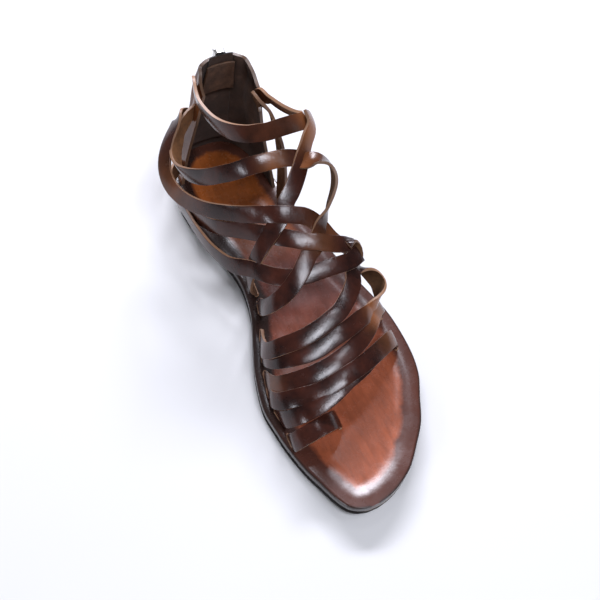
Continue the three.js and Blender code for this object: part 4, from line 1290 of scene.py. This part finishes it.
class SandalZip(bpy.types.Operator):
    """Model the tape and the guard, stitch the slit and give the zip its metal"""

    bl_idname = "sandal.zip"
    bl_label = "Zip"

    def execute(self, context):
        front = -COUNTER_WALL - GAP * 1.5
        tape = wall_sheet("woven_tape", TAPE_UP, TAPE_TURN, front, 24, 40)
        thicken(tape, TAPE_THICK, -1, (zip_fabric, suede_lining, zip_fabric), 0.15)
        settle(tape, "tape", "zip_tape")
        guard_front = front - TAPE_THICK - GAP
        guard = wall_sheet("zip_guard_leather", GUARD_UP, GUARD_TURN, guard_front, 24, 12)
        thicken(guard, GUARD_THICK, -1, (guard_leather,), 0.3)
        settle(guard, "guard_leather", "zip_guard")
        for node in ("zip_teeth", "zip_slider", "zip_pull"):
            dress(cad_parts[node], zip_metal)
        self.stitch(size_of("stitch_pitch"))
        return {"FINISHED"}

    def stitch(self, pitch):
        """One stitch, copied along both sides of the slit."""
        deselect_all()
        bpy.ops.mesh.primitive_uv_sphere_add(segments=8, ring_count=6, radius=1)
        first = bpy.context.active_object
        for vertex in first.data.vertices:
            x, y, z = vertex.co
            vertex.co = Vector((x * STITCH_HALF_WIDE, y * STITCH_HALF_THICK, power_cos(z, 0.7)))
        high = (back_point(1) - ZIP_FOOT).length
        stitches = []
        for side in (-1, 1):
            for k in range(int((high - SLIT_FROM - 1) / pitch)):
                up = SLIT_FROM + FIRST_STITCH + pitch * k
                place, outward = face_of_counter(side * (SLIT_WIDTH / 2 + STITCH_OFF_SLIT), up / high)
                across = outward.cross(ZIP_UP).normalized()
                stitch = first.copy()
                stitch.data = first.data.copy()
                bpy.context.collection.objects.link(stitch)
                for vertex in stitch.data.vertices:
                    x, y, z = vertex.co
                    at = place + across * x + outward * (y + 0.05) + ZIP_UP * (z * pitch * STITCH_HALF_LONG)
                    vertex.co = in_frame(at)
                stitches.append(stitch)
        bpy.data.objects.remove(first)
        piece = join(stitches, "zip_stitches")
        smooth(piece, 80)
        dress(piece, stitch_thread)
        settle(piece, "upper_leather")


def face_of_counter(across, up):
    """Point on the counter's outer face at a distance across from the zip, and its outward direction."""
    low, high = 0.3, 0.7
    for _ in range(24):
        turn = (low + high) / 2
        if (counter_point(up, turn, 0) - ZIP_FOOT).dot(ZIP_ACROSS) > across:
            high = turn
        else:
            low = turn
    folds = bpy.context.scene.sandal_sizes.fold_depth * fold_off(up, turn)
    outward = (counter_point(up, turn, 1) - counter_point(up, turn, 0)).normalized()
    return counter_point(up, turn, folds), outward


class SandalSlotLips(bpy.types.Operator):
    """Model the torn pale lips of the slots round the straps' feet"""

    bl_idname = "sandal.slot_lips"
    bl_label = "Slot lips"

    def execute(self, context):
        feet = []
        for strap in STRAPS:
            path = strap_stations(strap)
            if strap.start == SLOT:
                feet.append(path[1])
            if strap.end == SLOT:
                feet.append(path[-2])
        loop = toe_loop_stations()
        feet += [loop[1], loop[-2]]
        piece = join([self.lip(foot, k) for k, foot in enumerate(feet)], "slot_lips")
        smooth(piece, 70)
        dress(piece, cut_edge)
        settle(piece, "footbed_leather")
        return {"FINISHED"}

    def lip(self, foot, number):
        """Torn ring round one foot, with its own uneven edge."""
        deselect_all()
        bpy.ops.mesh.primitive_torus_add(
            major_segments=40, minor_segments=8, major_radius=1, minor_radius=0.2)
        ring = bpy.context.active_object
        half_width, half_thick = size_of("strap_width") / 2, size_of("strap_thickness") / 2
        side = foot.tangent.cross(foot.outward).normalized()
        height = footbed(clamp(share_along(foot.place), 0, 1)) + footbed_rise(edge_distance(foot.place))
        centre = Vector((foot.place.x, foot.place.y, height + 0.1))
        for vertex in ring.data.vertices:
            angle = math.atan2(vertex.co.y, vertex.co.x)
            c, s = math.cos(angle), math.sin(angle)
            out = math.hypot(vertex.co.x, vertex.co.y) - 1
            waves = 0.35 * math.sin(5 * angle + 1.7 * number) + 0.2 * math.sin(11 * angle + number)
            torn = 1.9 * (1 + waves)
            along = power_cos(c, 0.5) * (half_width + 0.35) + c * out * torn
            through = power_cos(s, 0.6) * (half_thick + 0.3) + s * out * torn
            point = centre + side * along + foot.outward * through + Vector((0, 0, vertex.co.z * torn))
            vertex.co = in_frame(point)
        pale = ring.data.attributes.new("pale", "FLOAT", "POINT")
        pale.data.foreach_set("value", [0.8] * len(ring.data.vertices))
        return ring


# Lights: direction and distance from the origin, width and depth in metres, power in watts
Light = namedtuple("Light", "name direction distance wide deep power color")
COOL_WHITE = (0.88, 0.90, 1.0)
LIGHTS = [
    Light("heel_softbox", (0.25, 0.72, 0.64), 1.3, 1.0, 0.18, 21, (0.90, 0.90, 1.0)),
    Light("key_softbox", (0.07, -0.36, 0.93), 1.4, 0.58, 0.20, 10, COOL_WHITE),
    Light("side_softbox", (0.36, -0.13, 0.92), 1.4, 0.14, 0.14, 1.5, COOL_WHITE),
    Light("left_softbox", (-0.88, -0.30, 0.36), 1.4, 0.36, 0.18, 4, COOL_WHITE),
    Light("top_softbox", (0.14, 0.30, 0.94), 1.4, 0.14, 0.10, 0.9, COOL_WHITE),
]

# Camera: turn about Z, rise and roll in degrees, distance in metres, lens and sensor in millimetres
CAMERA_TURN = -29.65
CAMERA_RISE = 58.3
CAMERA_ROLL = 5.33
CAMERA_DISTANCE = 0.46056
LENS = 45.87
SENSOR = 36
SHIFT_RIGHT = 0.0140
SHIFT_UP = 0.0098


class SandalStage(bpy.types.Operator):
    """Set the pale floor, the soft lights and the camera"""

    bl_idname = "sandal.stage"
    bl_label = "Floor, light and camera"

    def execute(self, context):
        deselect_all()
        bpy.ops.mesh.primitive_plane_add(size=8)
        floor = context.active_object
        floor.name = "floor"
        paint = Paint("floor_paint")
        pale = paint.ramp(paint.noise(3), [(0.3, 0.77), (0.7, 0.80)])
        floor.data.materials.append(paint.finish(Base_Color=pale, Roughness=0.9, Specular_IOR_Level=0.1))
        for light in LIGHTS:
            self.light(light)
        world = bpy.data.worlds.new("studio")
        world.use_nodes = True
        background = world.node_tree.nodes["Background"]
        background.inputs["Color"].default_value = (0.95, 0.97, 1.0, 1)
        background.inputs["Strength"].default_value = 0.12
        context.scene.world = world
        context.scene.view_settings.view_transform = "Standard"
        self.camera(context)
        return {"FINISHED"}

    def light(self, form):
        deselect_all()
        direction = Vector(form.direction).normalized()
        bpy.ops.object.light_add(type="AREA", location=direction * form.distance)
        light = bpy.context.active_object
        light.name = form.name
        light.data.shape = "RECTANGLE"
        light.data.size = form.wide
        light.data.size_y = form.deep
        light.data.energy = form.power
        light.data.color = form.color
        light.rotation_euler = direction.to_track_quat("Z", "Y").to_euler()

    def camera(self, context):
        """Camera that looks at the origin."""
        turn, rise, roll = (math.radians(angle) for angle in (CAMERA_TURN, CAMERA_RISE, CAMERA_ROLL))
        back = Vector((math.sin(turn) * math.cos(rise), -math.cos(turn) * math.cos(rise), math.sin(rise)))
        right = Vector((math.cos(turn), math.sin(turn), 0))
        up = back.cross(right)
        rolled_right = right * math.cos(roll) + up * math.sin(roll)
        rolled_up = up * math.cos(roll) - right * math.sin(roll)
        facing = Matrix((rolled_right, rolled_up, back)).transposed().to_4x4()
        deselect_all()
        bpy.ops.object.camera_add()
        camera = context.active_object
        camera.matrix_world = Matrix.Translation(back * CAMERA_DISTANCE) @ facing
        camera.data.lens = LENS
        camera.data.sensor_width = SENSOR
        camera.data.shift_x = SHIFT_RIGHT
        camera.data.shift_y = SHIFT_UP
        context.scene.camera = camera


class SandalPanel(bpy.types.Panel):
    """Buttons for each group of pieces, with sizes and colours"""

    bl_idname = "SANDAL_PT_pieces"
    bl_label = "Sandal"
    bl_space_type = "VIEW_3D"
    bl_region_type = "UI"
    bl_category = "Sandal"

    def draw(self, context):
        for operator in OPERATORS:
            self.layout.operator(operator.bl_idname)
        for group in (context.scene.sandal_sizes, context.scene.sandal_colors):
            box = self.layout.box()
            for name in group.__annotations__:
                box.prop(group, name)


OPERATORS = (
    SandalFootbed, SandalSole, SandalCounter, SandalStraps,
    SandalToeLoop, SandalZip, SandalSlotLips, SandalStage,
)
CLASSES = (SandalSizes, SandalColors, *OPERATORS, SandalPanel)


def register():
    for cls in CLASSES:
        bpy.utils.register_class(cls)
    bpy.types.Scene.sandal_sizes = bpy.props.PointerProperty(type=SandalSizes)
    bpy.types.Scene.sandal_colors = bpy.props.PointerProperty(type=SandalColors)


def unregister():
    del bpy.types.Scene.sandal_sizes
    del bpy.types.Scene.sandal_colors
    for cls in reversed(CLASSES):
        bpy.utils.unregister_class(cls)


def main():
    register()
    bpy.ops.sandal.footbed()
    bpy.ops.sandal.sole()
    bpy.ops.sandal.counter()
    bpy.ops.sandal.straps()
    bpy.ops.sandal.toe_loop()
    bpy.ops.sandal.zip()
    bpy.ops.sandal.slot_lips()
    bpy.ops.sandal.stage()


if __name__ == "__main__":
    main()
